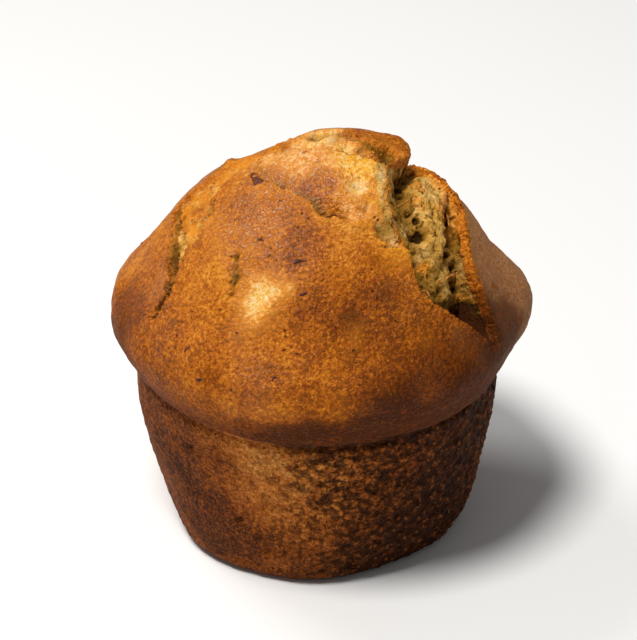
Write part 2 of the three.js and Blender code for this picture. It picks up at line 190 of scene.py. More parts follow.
# ---- noise, the same each run ----
def _hash(ix, iy, iz, seed):
    h = (
        ix.astype(np.uint32) * np.uint32(374761393)
        + iy.astype(np.uint32) * np.uint32(668265263)
        + iz.astype(np.uint32) * np.uint32(2147483647)
        + np.uint32((seed * 2654435761) & 0xFFFFFFFF)
    )
    h = (h ^ (h >> np.uint32(13))) * np.uint32(1274126177)
    h = (h ^ (h >> np.uint32(16))) * np.uint32(2246822519)
    return (h ^ (h >> np.uint32(15))).astype(np.float64) / 4294967296.0


def value_noise(p, seed=0):
    f = np.floor(p)
    i = f.astype(np.int64)
    w = p - f
    w = w * w * w * (w * (w * 6 - 15) + 10)
    out = 0.0
    for dx in (0, 1):
        wx = w[:, 0] if dx else 1 - w[:, 0]
        for dy in (0, 1):
            wy = w[:, 1] if dy else 1 - w[:, 1]
            for dz in (0, 1):
                wz = w[:, 2] if dz else 1 - w[:, 2]
                out = out + wx * wy * wz * _hash(i[:, 0] + dx, i[:, 1] + dy, i[:, 2] + dz, seed)
    return out * 2 - 1


def fbm(p, octaves=3, seed=0, gain=0.5):
    total, amp, norm = 0.0, 1.0, 0.0
    for o in range(octaves):
        total = total + amp * value_noise(p * (2.03**o) + 17.3 * o, seed + o * 101)
        norm += amp
        amp *= gain
    return total / norm


def clouds(p, octaves=3, seed=0):
    """Noise without a grain along the axes: two turned fields together."""
    q1 = p @ np.array([[0.36, 0.48, -0.8], [-0.8, 0.6, 0.0], [0.48, 0.64, 0.6]])
    q2 = p @ np.array([[0.6, 0.0, 0.8], [0.64, 0.6, -0.48], [-0.48, 0.8, 0.36]])
    return 0.72 * (fbm(q1, octaves, seed) + fbm(q2 + 31.7, octaves, seed + 1000))


def cells(p, seed=0):
    """Distance to the nearest and second nearest of one random point per unit cell, and the nearest's own number."""
    f = np.floor(p)
    i = f.astype(np.int64)
    w = p - f
    d1 = np.full(len(p), 9.0)
    d2 = np.full(len(p), 9.0)
    own = np.zeros(len(p))
    for dx in (-1, 0, 1):
        for dy in (-1, 0, 1):
            for dz in (-1, 0, 1):
                a, b, c = i[:, 0] + dx, i[:, 1] + dy, i[:, 2] + dz
                q = np.stack(
                    [
                        dx + _hash(a, b, c, seed) - w[:, 0],
                        dy + _hash(a, b, c, seed + 7) - w[:, 1],
                        dz + _hash(a, b, c, seed + 13) - w[:, 2],
                    ],
                    -1,
                )
                d = np.sqrt((q * q).sum(1))
                closer = d < d1
                d2 = np.where(closer, d1, np.minimum(d2, d))
                own = np.where(closer, _hash(a, b, c, seed + 29), own)
                d1 = np.where(closer, d, d1)
    return d1, d2, own


# ---- the plain body's rings ----
CROWN_KNOTS = [
    (CREASE_R, CUP_TOP_Z), (CREASE_R + 2.2, CUP_TOP_Z + 1.9), (RIM_R - 1.4, CUP_TOP_Z + 5.6),
    (RIM_R - 0.3, RIM_Z - 2.6), (RIM_R, RIM_Z), (RIM_R - 0.9, RIM_Z + 3.2), (RIM_R - 3.4, RIM_Z + 6.5),
    (SHOULDER_R, SHOULDER_Z), (SHOULDER_R - 2.8, SHOULDER_Z + 4.0), (27.3, SHOULDER_Z + 8.4),
    (22.2, HEIGHT - 8.4), (15.6, HEIGHT - 4.3), (8.5, HEIGHT - 1.3), (0, HEIGHT),
]


def spline(knots):
    p = np.array(knots, float)
    n = len(p) - 1
    q = np.linspace(0, 1, 4001) * n
    i = np.minimum(np.floor(q).astype(int), n - 1)
    w = (q - i)[:, None]
    p0, p1, p2, p3 = p[np.maximum(i - 1, 0)], p[i], p[np.minimum(i + 1, n)], p[np.minimum(i + 2, n)]
    p0 = np.where((i == 0)[:, None], p[0], p0)
    v0, v1 = (p2 - p0) * 0.5, (p3 - p1) * 0.5
    c = (2 * p1 - 2 * p2 + v0 + v1) * w**3 + (-3 * p1 + 3 * p2 - 2 * v0 - v1) * w**2 + v0 * w + p1
    length = np.r_[0, np.cumsum(np.hypot(*np.diff(c, axis=0).T))]
    return c, length


def outline(step, base_step):
    """The body's outline from the underside's middle to the top, as (r, z, spacing)."""
    rows = []
    n = int(round(BASE_FLAT_R / base_step))
    for k in range(1, n):
        rows.append((BASE_FLAT_R * k / n, 0.0, base_step))
    n = max(3, int(round(5.6 / step)))
    for k in range(n + 1):
        a = k / n * math.pi / 2
        rows.append(
            (
                BASE_FLAT_R + (BASE_WALL_R - BASE_FLAT_R) * math.sin(a),
                BASE_EDGE_H * (1 - math.cos(a)),
                step,
            )
        )
    rise = CUP_TOP_Z - BASE_EDGE_H
    n = int(round(rise / step))
    for k in range(1, n):
        t = k / n
        r = BASE_WALL_R + (CUP_TOP_R - BASE_WALL_R) * t**WALL_POWER
        z = BASE_EDGE_H + rise * t
        # the wall turns in to the fold over its last millimetre and a half
        r -= (CUP_TOP_R - CREASE_R) * float(smooth(CUP_TOP_Z - 1.6, CUP_TOP_Z, np.array(z)))
        rows.append((r, z, step))
    rows.append((CREASE_R, CUP_TOP_Z, step))
    c, length = spline(CROWN_KNOTS)
    n = int(round(length[-1] / step))
    s = np.linspace(0, length[-1], n + 1)[1:-1]
    for r, z in zip(np.interp(s, length, c[:, 0]), np.interp(s, length, c[:, 1])):
        rows.append((float(r), float(z), step))
    return rows


def body_point(r, z, a):
    crown = smooth(CUP_TOP_Z - 1, CUP_TOP_Z + 4, z)
    rnd = (
        1
        + crown * (0.011 * np.cos(3 * a - 0.6) + 0.007 * np.cos(5 * a + 1.9))
        + (1 - crown) * (0.006 * np.cos(2 * a - 0.9) + 0.003 * np.cos(3 * a + 0.4))
    )
    wander = bell(z - CUP_TOP_Z - 2, 6) * (
        0.55 * np.cos(2 * a + 2.5) + 0.45 * np.cos(3 * a - 2.2)
    )
    lean = -0.5 + TOP_SHIFT_X * smooth(SHOULDER_Z, HEIGHT, z) + 0.3 * smooth(40, 48, z)
    return np.stack(
        [lean + r * rnd * np.sin(a), -r * rnd * np.cos(a), np.where(z <= 0, 0, z + wander)], -1
    )


def ring_mesh(step, base_step):
    points, rings, n0 = [], [], 0
    for r, z, side in outline(step, base_step):
        n = max(6, int(round(2 * math.pi * r / side)))
        a = (np.arange(n) + 0.5 * (len(rings) % 2)) / n * 2 * math.pi
        points.append(body_point(np.full(n, r), np.full(n, z), a))
        rings.append((n0, n, 0.5 * (len(rings) % 2) / n))
        n0 += n
    faces = []
    for (l0, nl, sl), (h0, nh, sh) in zip(rings[:-1], rings[1:]):
        i = j = 0
        while i < nl or j < nh:
            a, b = l0 + i % nl, h0 + j % nh
            if j >= nh or (i < nl and (i + 1) / nl + sl <= (j + 1) / nh + sh):
                i += 1
                faces.append((a, l0 + i % nl, b))
            else:
                j += 1
                faces.append((a, h0 + j % nh, b))
    under, (f0, fn, _) = n0, rings[0]
    points.append(np.array([[-0.5, 0.0, 0.0]]))
    faces += [(under, f0 + (i + 1) % fn, f0 + i) for i in range(fn)]
    apex, (f0, fn, _) = n0 + 1, rings[-1]
    points.append(body_point(np.array([0.0]), np.array([HEIGHT]), np.array([0.0])))
    faces += [(apex, f0 + i, f0 + (i + 1) % fn) for i in range(fn)]
    return np.vstack(points), np.array(faces)


def refine(p, f, longest, measured=None):
    """Halve every edge that is too long for its place, and divide its triangles to suit."""
    measured = p if measured is None else measured
    n = len(p)
    e = np.concatenate([f[:, [0, 1]], f[:, [1, 2]], f[:, [2, 0]]])
    key = e.min(1) * n + e.max(1)
    uniq, inv = np.unique(key, return_inverse=True)
    a, b = uniq // n, uniq % n
    mid = (p[a] + p[b]) / 2
    split = np.linalg.norm(measured[a] - measured[b], axis=1) > 1.4 * longest(mid)
    number = np.full(len(uniq), -1)
    number[split] = n + np.arange(split.sum())
    m = number[inv].reshape(3, -1).T  # per face: middles of ab, bc, ca
    p2 = np.vstack([p, mid[split]])
    count = (m >= 0).sum(1)
    out = [f[count == 0]]
    k = count == 3
    A, B, C = f[k].T
    ab, bc, ca = m[k].T
    out += [np.c_[A, ab, ca], np.c_[ab, B, bc], np.c_[ca, bc, C], np.c_[ab, bc, ca]]
    for turn in range(3):
        ft, mt = np.roll(f, -turn, axis=1), np.roll(m, -turn, axis=1)
        k = (count == 1) & (mt[:, 0] >= 0)
        A, B, C = ft[k].T
        ab = mt[k, 0]
        out += [np.c_[A, ab, C], np.c_[ab, B, C]]
        k = (count == 2) & (mt[:, 2] < 0)
        A, B, C = ft[k].T
        ab, bc = mt[k, 0], mt[k, 1]
        out.append(np.c_[ab, B, bc])
        s = np.linalg.norm(p2[A] - p2[bc], axis=1) < np.linalg.norm(p2[C] - p2[ab], axis=1)
        out += [np.c_[A, ab, bc][s], np.c_[A, bc, C][s], np.c_[A, ab, C][~s], np.c_[ab, bc, C][~s]]
    return p2, np.vstack(out)


def plan_of(p):
    up, around = p[:, 2] - CENTRE_Z, np.hypot(p[:, 0], p[:, 1])
    fall = np.degrees(np.arctan2(around, up))
    k = np.where(around > 1e-9, fall / np.maximum(around, 1e-9), 0)
    return k * p[:, 0], k * p[:, 1], fall


def outwards(p):
    d = p.copy()
    d[:, 2] = np.maximum(0, p[:, 2] - CENTRE_Z)
    return d / np.maximum(np.linalg.norm(d, axis=1, keepdims=True), 1e-6)


def uneven(p):
    around = np.degrees(np.arctan2(p[:, 0], -p[:, 1]))
    r = np.hypot(p[:, 0], p[:, 1])
    near = np.minimum(1, r / 30)
    d = np.zeros(len(p))
    for angle, z, amount in UNEVEN:
        turn = (around - angle + 540) % 360 - 180
        d += amount * bell(turn * near, UNEVEN_ANGLE) * bell(p[:, 2] - z, UNEVEN_HEIGHT)
    return np.where(p[:, 2] < CENTRE_Z, d * smooth(2, 22, r), d)


# ---- relief of the crown ----
def torn(x, y):
    """Plan places moved a little, so that every edge along them is ragged, and the walls under it less so."""
    q = np.stack([x, y, np.zeros_like(x)], -1)
    wide_x, wide_y = 0.75 * value_noise(q / 5.0, 1), 0.75 * value_noise(q / 5.0, 4)
    fine_x = 0.5 * value_noise(q / 2.1, 2) + 0.3 * value_noise(q / 0.95, 3)
    fine_y = 0.5 * value_noise(q / 2.1, 5) + 0.3 * value_noise(q / 0.95, 6)
    gap = np.minimum(nearest(SPLIT_LEFT, x + wide_x, y + wide_y)[0], nearest(SPLIT_RIGHT, x + wide_x, y + wide_y)[0])
    k = 1 - 0.85 * smooth(0.5, 1.8, np.where(within(SPLIT_OUTLINE, x + wide_x, y + wide_y), gap, 0.0))
    return x + wide_x + k * fine_x, y + wide_y + k * fine_y


def narrow(path, depth, deepest, x, y):
    gap, _, side, half = nearest(path, x, y)
    half = np.maximum(half, 1e-6)
    across = side * gap / half
    wall = 1 - np.where(
        across < deepest,
        smooth(0, 1.15 + deepest, deepest - across),
        smooth(0, 1.15 - deepest, across - deepest),
    )
    wall = np.where(np.abs(across) > 1.7, 0, wall)
    return -depth * wall * np.clip(half / 1.0, 0, 1), wall


def signed_gap(poly, x, y):
    gap = nearest(poly + poly[:1], x, y)[0]
    return np.where(within(poly, x, y), gap, -gap)


def blob(x, y, cx, cy, r):
    return bell(np.hypot(x - cx, y - cy), r * 0.6)


def crown(px, py, p):
    """The crown's surface over the plain body at plan places: height in mm, how far it is drawn
    sideways under the flap in mm, and masks from 0 to 1 for what shows there.
    p is the place on the plain body in mm."""
    x, y = torn(px, py)
    left, at_left = nearest(SPLIT_LEFT, x, y)[:2]
    right, at_right = nearest(SPLIT_RIGHT, x, y)[:2]
    edge, width = np.minimum(left, right), left + right
    inside = within(SPLIT_OUTLINE, x, y)
    opening = np.clip(width / 13.0, 0, 1)
    signed = np.where(inside, edge, -edge)
    e_left, e_right = left * MM_PER_DEGREE, right * MM_PER_DEGREE

    b1, b2, bown = cells(p / 1.3, 14)
    crumb_relief = 0.45 * fbm(p / 3.0, 2, 30)

    # the floor of the main split: a valley, a block of crumb standing in it, and a groove beyond it
    valley, at_valley = nearest(VALLEY, x, y)[:2]
    block = signed_gap(BLOCK, x, y)
    tail = smooth(36, 48, x)
    beyond = smooth(-1.5, 1.5, x - 38.0 - 0.30 * np.maximum(0, -y - 22)) * (y < 2)
    back = smooth(4, 14, y)
    deep = 3.0 + 0.9 * bell(valley, 1.6) + 0.5 * beyond + 1.4 * smooth(45, 54, x) - 0.6 * back
    top_of_block = 1.3 + 0.02 * np.maximum(0, -y - 10) ** 1.2 + 0.9 * tail + 0.4 * smooth(-8, 4, y)
    stand = smooth(-0.5, 1.1, block + 0.5 * fbm(p / 1.6, 2, 32)) * (1 - back)
    floor = deep + (top_of_block - deep) * stand
    for hx, hy, r, depth_ in POCKETS:
        floor = floor + depth_ * blob(x, y, hx, hy, r * 1.15)

    dome = smooth(0.36, 0.43, at_left) * smooth(0.62, 0.58, at_left)
    wall_left = 1.1 + 3.6 * dome + 1.2 * back
    t = np.clip(e_left / wall_left, 0, 1)
    fall_left = t * t * (3 - 2 * t) * (1 - dome) + dome * (1 - (1 - t) ** 1.25)
    flap = smooth(0.0, 0.05, at_right) * smooth(0.44, 0.36, at_right)
    wall_right = 1.1 + 2.6 * smooth(0.38, 0.46, at_right) * smooth(0.66, 0.58, at_right)
    thick = 1.5 + 0.35 * fbm(p / 2.0, 2, 36)
    fall_right = smooth(0, 1, e_right / wall_right)
    depth = (floor - crumb_relief * smooth(0.1, 0.8, np.minimum(fall_left, 1))) * fall_left
    under_flap = thick * smooth(0.0, 0.38, e_right) + np.maximum(depth - thick, 0) * smooth(0.55, 1.5, e_right)
    depth = np.where(
        flap > 0, np.minimum(under_flap, depth) * flap + depth * fall_right * (1 - flap), depth * fall_right
    )
    lip = 0.6 * opening
    ends = np.clip(width / 6.0, 0, 1)
    rise_ = lip * bell(edge, 2.4) * (1 - 0.95 * dome * (left < right))
    main = np.where(inside, lip * (1 - smooth(0, 0.6, edge)) - depth * ends, rise_)
    drawn = np.where(
        inside, -1.5 * flap * smooth(0.32, 0.85, e_right) * smooth(4.0, 1.6, e_right) * np.clip((width - 5) / 8.0, 0, 1), 0
    )

    h = main.copy()
    crumb = np.where(inside, smooth(0.25, 0.9, edge), 0.0) * np.clip(width / 3.0, 0, 1)
    narrow_rind = 0.7 + 0.4 * (1 - smooth(-4, 2, y)) * smooth(-30, -20, y)
    rind = np.where(
        inside,
        np.maximum(
            smooth(narrow_rind, 0.35 * narrow_rind, left) * (1 - 0.95 * dome),
            flap * smooth(0.75, 0.4, e_right) + (1 - flap) * smooth(3.4, 0.8, right),
        ),
        0.0,
    )
    crack_rind = nearest(CRACK, x, y)
    rind = np.maximum(rind, 0.55 * np.where(crack_rind[2] < 0, bell(crack_rind[0] - 0.2, 0.9), 0) * np.clip(crack_rind[3], 0, 1))
    in_crack = np.where(crack_rind[2] > 0, smooth(1.1, 0.5, crack_rind[0] / np.maximum(crack_rind[3], 0.3)), 0)
    rind = np.maximum(rind, 0.50 * in_crack * np.clip(crack_rind[3], 0, 1) * np.maximum(smooth(-4, 0, y), smooth(-20, -27, y)))
    for hx, hy, r, amount in ORANGE:
        rind = np.maximum(rind, np.where(inside, 0.95 * amount * blob(x, y, hx, hy, r * 1.5), 0))

    # grains along every torn edge
    near_edges = bell(signed, 1.6) * (1 - 0.75 * dome * (left < right))

    # the risen top, lower than the front flap's torn edge
    gap_flap, at_flap = nearest(FLAP_EDGE, x, y)[:2]
    top = within(TOP_OUTLINE, x, y) & ~inside
    fade_flap = smooth(0.05, 0.30, at_flap)
    step = (1.8 + 1.2 * blob(x, y, 3.6, -27.6, 8.0)) * smooth(0, 0.7, gap_flap) * bell(gap_flap, 5.0) * (0.25 + 0.75 * fade_flap)
    h += np.where(top, -step, np.where(~inside, 0.85 * bell(gap_flap, 1.5) * fade_flap, 0))
    near_edges = np.maximum(near_edges, bell(gap_flap, 1.5) * fade_flap)
    rough_top = np.where(top, bell(gap_flap - 2.5, 3.5) * smooth(0.30, 0.12, at_flap - 0.3), 0)
    h += rough_top * (0.28 * fbm(p / 1.3, 2, 37) - 0.5 * smooth(0.5, 0.2, b1) * (bown > 0.4))

    # pale lumps between the crest's crust and the crevice
    lumps = within(CREST_LUMPS, x, y) & ~inside
    gap_crest = nearest(CREST_EDGE, x, y)[0]
    l1, l2, lown = cells(p / 4.6, 21)
    h += np.where(
        lumps,
        -0.8 * smooth(0, 0.8, gap_crest)
        + smooth(0, 1.0, gap_crest) * (2.5 * (0.5 - l1) + 0.9 * (lown - 0.5) + 0.20 * fbm(p / 1.4, 2, 33)),
        0,
    )
    h += np.where(~lumps & ~inside & ~top, 0.30 * bell(gap_crest, 1.4), 0)
    torn_end = np.where(lumps, smooth(14.5, 19.0, x) * smooth(0.2, 1.4, gap_crest), 0)
    h -= 1.5 * torn_end
    groove = np.where(lumps, bell(gap_crest - 1.1, 0.8) * smooth(-8, 0, x), 0)
    h -= 1.0 * groove
    near_edges = np.maximum(near_edges, np.where(lumps, 0, bell(gap_crest, 1.2)))

    # the band of torn crust on the left, with its crack
    band = signed_gap(BAND, x, y)
    in_band = smooth(-0.7, 1.5, band)
    h -= in_band * (0.55 + 0.45 * fbm(p / 1.5, 2, 35) + 0.4 * smooth(0.4, 0.15, b1) * (bown > 0.5))
    h += np.where(band < 0, 0.30 * bell(band, 1.2), 0) * (~inside)
    crack, at_crack, crack_side, crack_width = nearest(CRACK, x, y)
    e_crack = np.where(crack_side < 0, crack, -crack) * MM_PER_DEGREE
    w_crack = np.maximum(crack_width * MM_PER_DEGREE, 1e-6)
    rag = 1 + 0.35 * fbm(p / 1.1, 2, 38)
    crack_depth = (1.5 + 1.1 * smooth(-20, -29, y)) * np.clip(w_crack / 1.1, 0, 1) * smooth(-0.08, 0.36, e_crack) * np.clip(1.06 * rag - e_crack / w_crack, 0, 1) ** 0.8
    crack_mask = smooth(-0.12, 0.14, e_crack) * smooth(1.10, 0.7, e_crack / w_crack)
    low_crack = smooth(0.60, 0.78, at_crack)
    crack_shade = smooth(0.95 * rag, 0.45 * rag, e_crack) * (1 - low_crack) + low_crack * smooth(1.0, 0.6, e_crack / w_crack)
    shade = smooth(-0.16, 0.06, e_crack) * np.maximum(crack_shade, low_crack * smooth(1.1, 0.8, e_crack / w_crack)) * np.clip(w_crack / 0.7, 0, 1) * (0.26 + 0.34 * smooth(-8, -24, y) + 0.16 * low_crack)
    second, _, second_side, second_half = nearest(SECOND_SPLIT, x, y)
    shade = np.maximum(shade, 0.62 * smooth(1.0, 0.3, second / np.maximum(second_half, 0.3)) * (second_half > 0.35))
    shade = np.maximum(shade, np.where(top, 0.62 * bell(gap_flap - 0.5, 0.8) * np.maximum(blob(x, y, 3.4, -27.8, 5.5), 0.7 * blob(x, y, -4.6, -23.6, 5.0)), 0))
    shade = np.maximum(shade, np.where(inside, 0.9 * np.maximum(smooth(48.5, 55.0, x) * smooth(-35.0, -39.5, y) * smooth(0.2, 0.9, edge), smooth(54.0, 58.5, x) * smooth(-31.0, -36.0, y) * smooth(0.75, 1.2, e_right)), 0))
    h -= crack_depth + crumb_relief * 0.25 * crack_mask
    h += 0.45 * np.where(e_crack < 0, bell(e_crack, 1.1), 0) * np.clip(w_crack / 1.0, 0, 1) * (np.abs(e_crack) < 4)
    near_edges = np.maximum(near_edges, np.maximum(bell(e_crack, 0.5) * np.clip(w_crack, 0, 1), bell(band, 1.0)))

    open_ = np.minimum(0, main) * 0.3
    d_second, w_second = narrow(SECOND_SPLIT, 2.4, 0.2, x, y)
    d_top, w_top = narrow(TOP_CREVICE, 3.2, 0.15, x, y)
    d_back, w_back = narrow(BACK_SPLIT, 3.6, 0.0, x, y)
    near_back = nearest(BACK_SPLIT, x, y)
    d_back = d_back + crumb_relief * 0.8 * smooth(0.35, 0.9, w_back)
    h = h + d_second
    h = h + np.where(inside, 0, d_top)
    h = np.where(w_back > 0.02, np.minimum(h, d_back + open_), h)
    h += np.where(
        (near_back[0] > near_back[3]) & ~inside, 0.5 * bell(near_back[0] - near_back[3], 1.6) * np.clip(near_back[3] / 2, 0, 1), 0
    )
    near_edges = np.maximum(near_edges, bell(near_back[0] - near_back[3], 1.2) * np.clip(near_back[3] / 2, 0, 1))

    # pits in the flap, a knob on the back left and hollows
    pits = 0.0
    for hx, hy, r, depth_ in (
        (-26.5, -36.8, 1.5, 1.2), (-27.4, -39.9, 1.3, 1.0), (-28.0, -43.2, 1.7, 1.4), (-29.2, -44.9, 1.2, 0.8),
        (-29.7, -47.4, 1.2, 0.9), (-26.9, 0.8, 0.8, 0.5), (-33.2, -5.6, 0.8, 0.9),
    ):
        pits = pits + depth_ * blob(x, y, hx, hy, r * 1.25)
    h -= pits
    for hx, hy, r, depth_ in (
        (10.7, -16.5, 3.6, 0.9), (13.2, -23.4, 1.6, 0.8), (3.0, -24.5, 5.0, 0.5), (31.0, 25.5, 13.0, 3.3),
        (42.0, 14.0, 10.0, 0.9), (1.6, -27.0, 2.6, 1.2), (5.2, -28.0, 2.6, 1.3), (30.6, 12.0, 3.6, 1.0),
    ):
        h -= depth_ * blob(x, y, hx, hy, r)
    for hx, hy, r, height in (
        (-28.5, 12.0, 3.4, 1.2), (21.6, 12.4, 5.0, 1.3), (-22.0, -31.0, 17.0, 0.6), (20.0, -55.0, 20.0, 0.5), (16.0, -9.0, 5.0, 0.5),
    ):
        h += height * blob(x, y, hx, hy, r)
    spot = np.clip(0.8 * blob(x, y, -19.8, -5.4, 1.5) + blob(x, y, -19.0, -8.4, 2.1) + 0.7 * blob(x, y, -17.2, -9.6, 1.5) + 0.6 * blob(x, y, -24.4, -7.6, 1.1), 0, 1)
    h += 0.30 * spot * (1 + 1.2 * value_noise(p / 0.7, 40))

    # edges are granular
    h += near_edges * (0.42 * (0.55 - b1) + 0.20 * value_noise(p / 0.62, 39)) * (~inside | (edge < 0.6))

    crumb = np.maximum(crumb, 0.95 * crack_mask * np.clip(w_crack / 0.8, 0, 1))
    crumb = np.maximum(crumb, 0.9 * smooth(0.35, 0.9, w_second))
    crumb = np.maximum(crumb, np.where(inside, 0, 0.85 * smooth(0.35, 0.9, w_top)))
    crumb = np.maximum(crumb, smooth(0.25, 0.75, w_back) * np.clip(near_back[3] / 1.5, 0, 1))
    crumb = np.maximum(crumb, 0.9 * torn_end)
    crumb = np.maximum(crumb, np.where(top, 0.95 * np.maximum(smooth(2.8, 1.0, left) * dome, smooth(0.25, 0.75, blob(x, y, 21.0, -29.5, 6.0)) * smooth(0.3, 1.2, gap_flap)), 0))
    mouth = np.where(top, smooth(0.25, 0.75, np.maximum(blob(x, y, 1.2, -26.6, 2.8), blob(x, y, 5.2, -27.6, 2.8))), 0)
    crumb = np.maximum(crumb, 0.95 * mouth)
    # hollow_shade: darker in the cracks, pockets, under the right flap, in the hollow behind the front flap's edge, at
    # the crest's torn end and at the split's low end: painted shade
    hollow_shade = np.maximum((0.10 + 0.40 * np.maximum(crack_shade, 1.3 * low_crack)) * crack_mask * np.clip(w_crack / 0.8, 0, 1), 0.9 * smooth(0.5, 1.0, w_second))
    hollow_shade = np.maximum(hollow_shade, np.where(inside, 0.0, 0.75 * smooth(0.5, 1.0, w_top)))
    pocket = np.zeros_like(x)
    for hx, hy, r, depth_ in POCKETS:
        pocket = np.maximum(pocket, np.clip(depth_ / 1.6, 0, 1.2) * blob(x, y, hx, hy, r))
    hollow_shade = np.maximum(hollow_shade, np.where(inside, smooth(0.15, 0.95, pocket) + (1.05 * smooth(49.5, 56.0, x) * smooth(-34.0, -39.0, y) + 0.62 * smooth(31.0, 37.0, x) * smooth(-40.5, -44.0, y)) * smooth(0.3, 1.2, edge), 0))
    hollow_shade = np.maximum(hollow_shade, np.where(inside, 0.55 * flap * smooth(0.7, 1.0, e_right) * smooth(2.2, 1.2, e_right) * np.clip((width - 4) / 8, 0, 1), 0))
    hollow_shade = np.maximum(hollow_shade, np.maximum(0.62 * mouth, 0.38 * torn_end))
    hollow_shade = np.maximum(hollow_shade, np.where(inside, 0.46 * np.maximum(blob(x, y, 22.6, -20.5, 6.0), 1.3 * blob(x, y, 27.0, -35.0, 7.0)), 0))
    hollow_shade = np.maximum(hollow_shade, np.where(inside, 0.86 * np.maximum(np.maximum(blob(x, y, 49.0, -43.0, 6.0), blob(x, y, 39.5, -44.5, 7.5)), 0.7 * blob(x, y, 42.0, -41.0, 6.0)), 0))
    hollow_shade = np.maximum(hollow_shade, 0.42 * blob(x, y, 22.0, -8.0, 7.0) * (inside | (top & (left < 3))))
    hollow_shade = np.clip(hollow_shade, 0, 1)
    masks = dict(
        hollow_shade=hollow_shade, crumb=crumb, rind=rind, top=np.where(top, smooth(0, 1.0, gap_flap), 0.0),
        lumps=np.where(lumps, smooth(0.1, 0.9, gap_crest), 0.0), signed=signed, band=in_band,
        gap_flap=gap_flap, at_flap=at_flap, pits=np.clip(pits, 0, 1), spot=spot, drawn=drawn,
        flap=flap, width=width, x=x, y=y, dome=np.where(inside, dome, 0.0),
        rough_top=rough_top, shade=shade, groove=groove, rounded=np.where(top, bell(left, 2.0) * dome, 0), behind=np.where(top, bell(gap_flap - 0.9, 1.3) * fade_flap, 0),
    )
    return h, masks


def longest_edge(p):
    x, y, fall = plan_of(p)
    want = np.full(len(p), 9.0)
    k = fall < 82
    xk, yk = x[k], y[k]
    inside = within(SPLIT_OUTLINE, xk, yk)
    left, right = nearest(SPLIT_LEFT, xk, yk), nearest(SPLIT_RIGHT, xk, yk)
    crack = nearest(CRACK, xk, yk)
    gap = np.minimum.reduce(
        [
            np.where(inside, 0.0, left[0]),
            right[0],
            np.where(within(CREST_LUMPS, xk, yk), 0.0, nearest(FLAP_EDGE, xk, yk)[0]),
            np.maximum(0, -signed_gap(BAND, xk, yk)),
            crack[0],
            *(np.maximum(0, n[0] - n[3]) for n in (nearest(s, xk, yk) for s in (SECOND_SPLIT, TOP_CREVICE, BACK_SPLIT))),
            np.hypot(xk + 28, yk + 42) - 5,
        ]
    )
    want_k = SPLIT_STEP * (1 + np.maximum(0, gap - 0.9) * 0.5)
    # finest where a wall drops: under the right flap's edge and the left crack's outer side
    steep = np.where(right[1] < 0.45, np.abs(np.where(inside, right[0], -right[0]) - 1.0) - 1.7, 9.0)
    steep = np.minimum(steep, np.abs(np.where(inside, left[0], -left[0]) - 0.7) - 1.0)
    steep = np.minimum(steep, np.abs(np.where(crack[2] < 0, crack[0], -crack[0]) - 0.3) - 0.8)
    want[k] = np.minimum(want_k, FINE_STEP * (1 + np.maximum(0, steep) * 1.2))
    return want


def face_normals(p, f):
    return np.cross(p[f[:, 1]] - p[f[:, 0]], p[f[:, 2]] - p[f[:, 0]])


def vertex_normals(p, f):
    fn = face_normals(p, f)
    n = np.zeros_like(p)
    for k in range(3):
        for c in range(3):
            n[:, c] += np.bincount(f[:, k], fn[:, c], len(p))
    return n / np.maximum(np.linalg.norm(n, axis=1, keepdims=True), 1e-12)


def relaxed(v, f, rounds=1):
    """Each vertex's value averaged with its neighbours'."""
    e = np.concatenate([f[:, [0, 1]], f[:, [1, 2]], f[:, [2, 0]]])
    count = np.bincount(e[:, 0], minlength=len(v)) + np.bincount(e[:, 1], minlength=len(v))
    v = v.copy()
    for _ in range(rounds):
        if v.ndim == 1:
            s = np.bincount(e[:, 0], v[e[:, 1]], len(v)) + np.bincount(e[:, 1], v[e[:, 0]], len(v))
            v = 0.5 * v + 0.5 * s / count
        else:
            s = np.stack(
                [np.bincount(e[:, 0], v[e[:, 1], c], len(v)) + np.bincount(e[:, 1], v[e[:, 0], c], len(v)) for c in range(v.shape[1])], -1
            )
            v = 0.5 * v + 0.5 * s / count[:, None]
    return v


STEP, SPLIT_STEP, FINE_STEP, CRUMB_STEP, BASE_STEP = 0.60, 0.30, 0.16, 0.26, 1.2

p0, tri = ring_mesh(STEP, BASE_STEP)
for _ in range(3):
    p0, tri = refine(p0, tri, longest_edge)


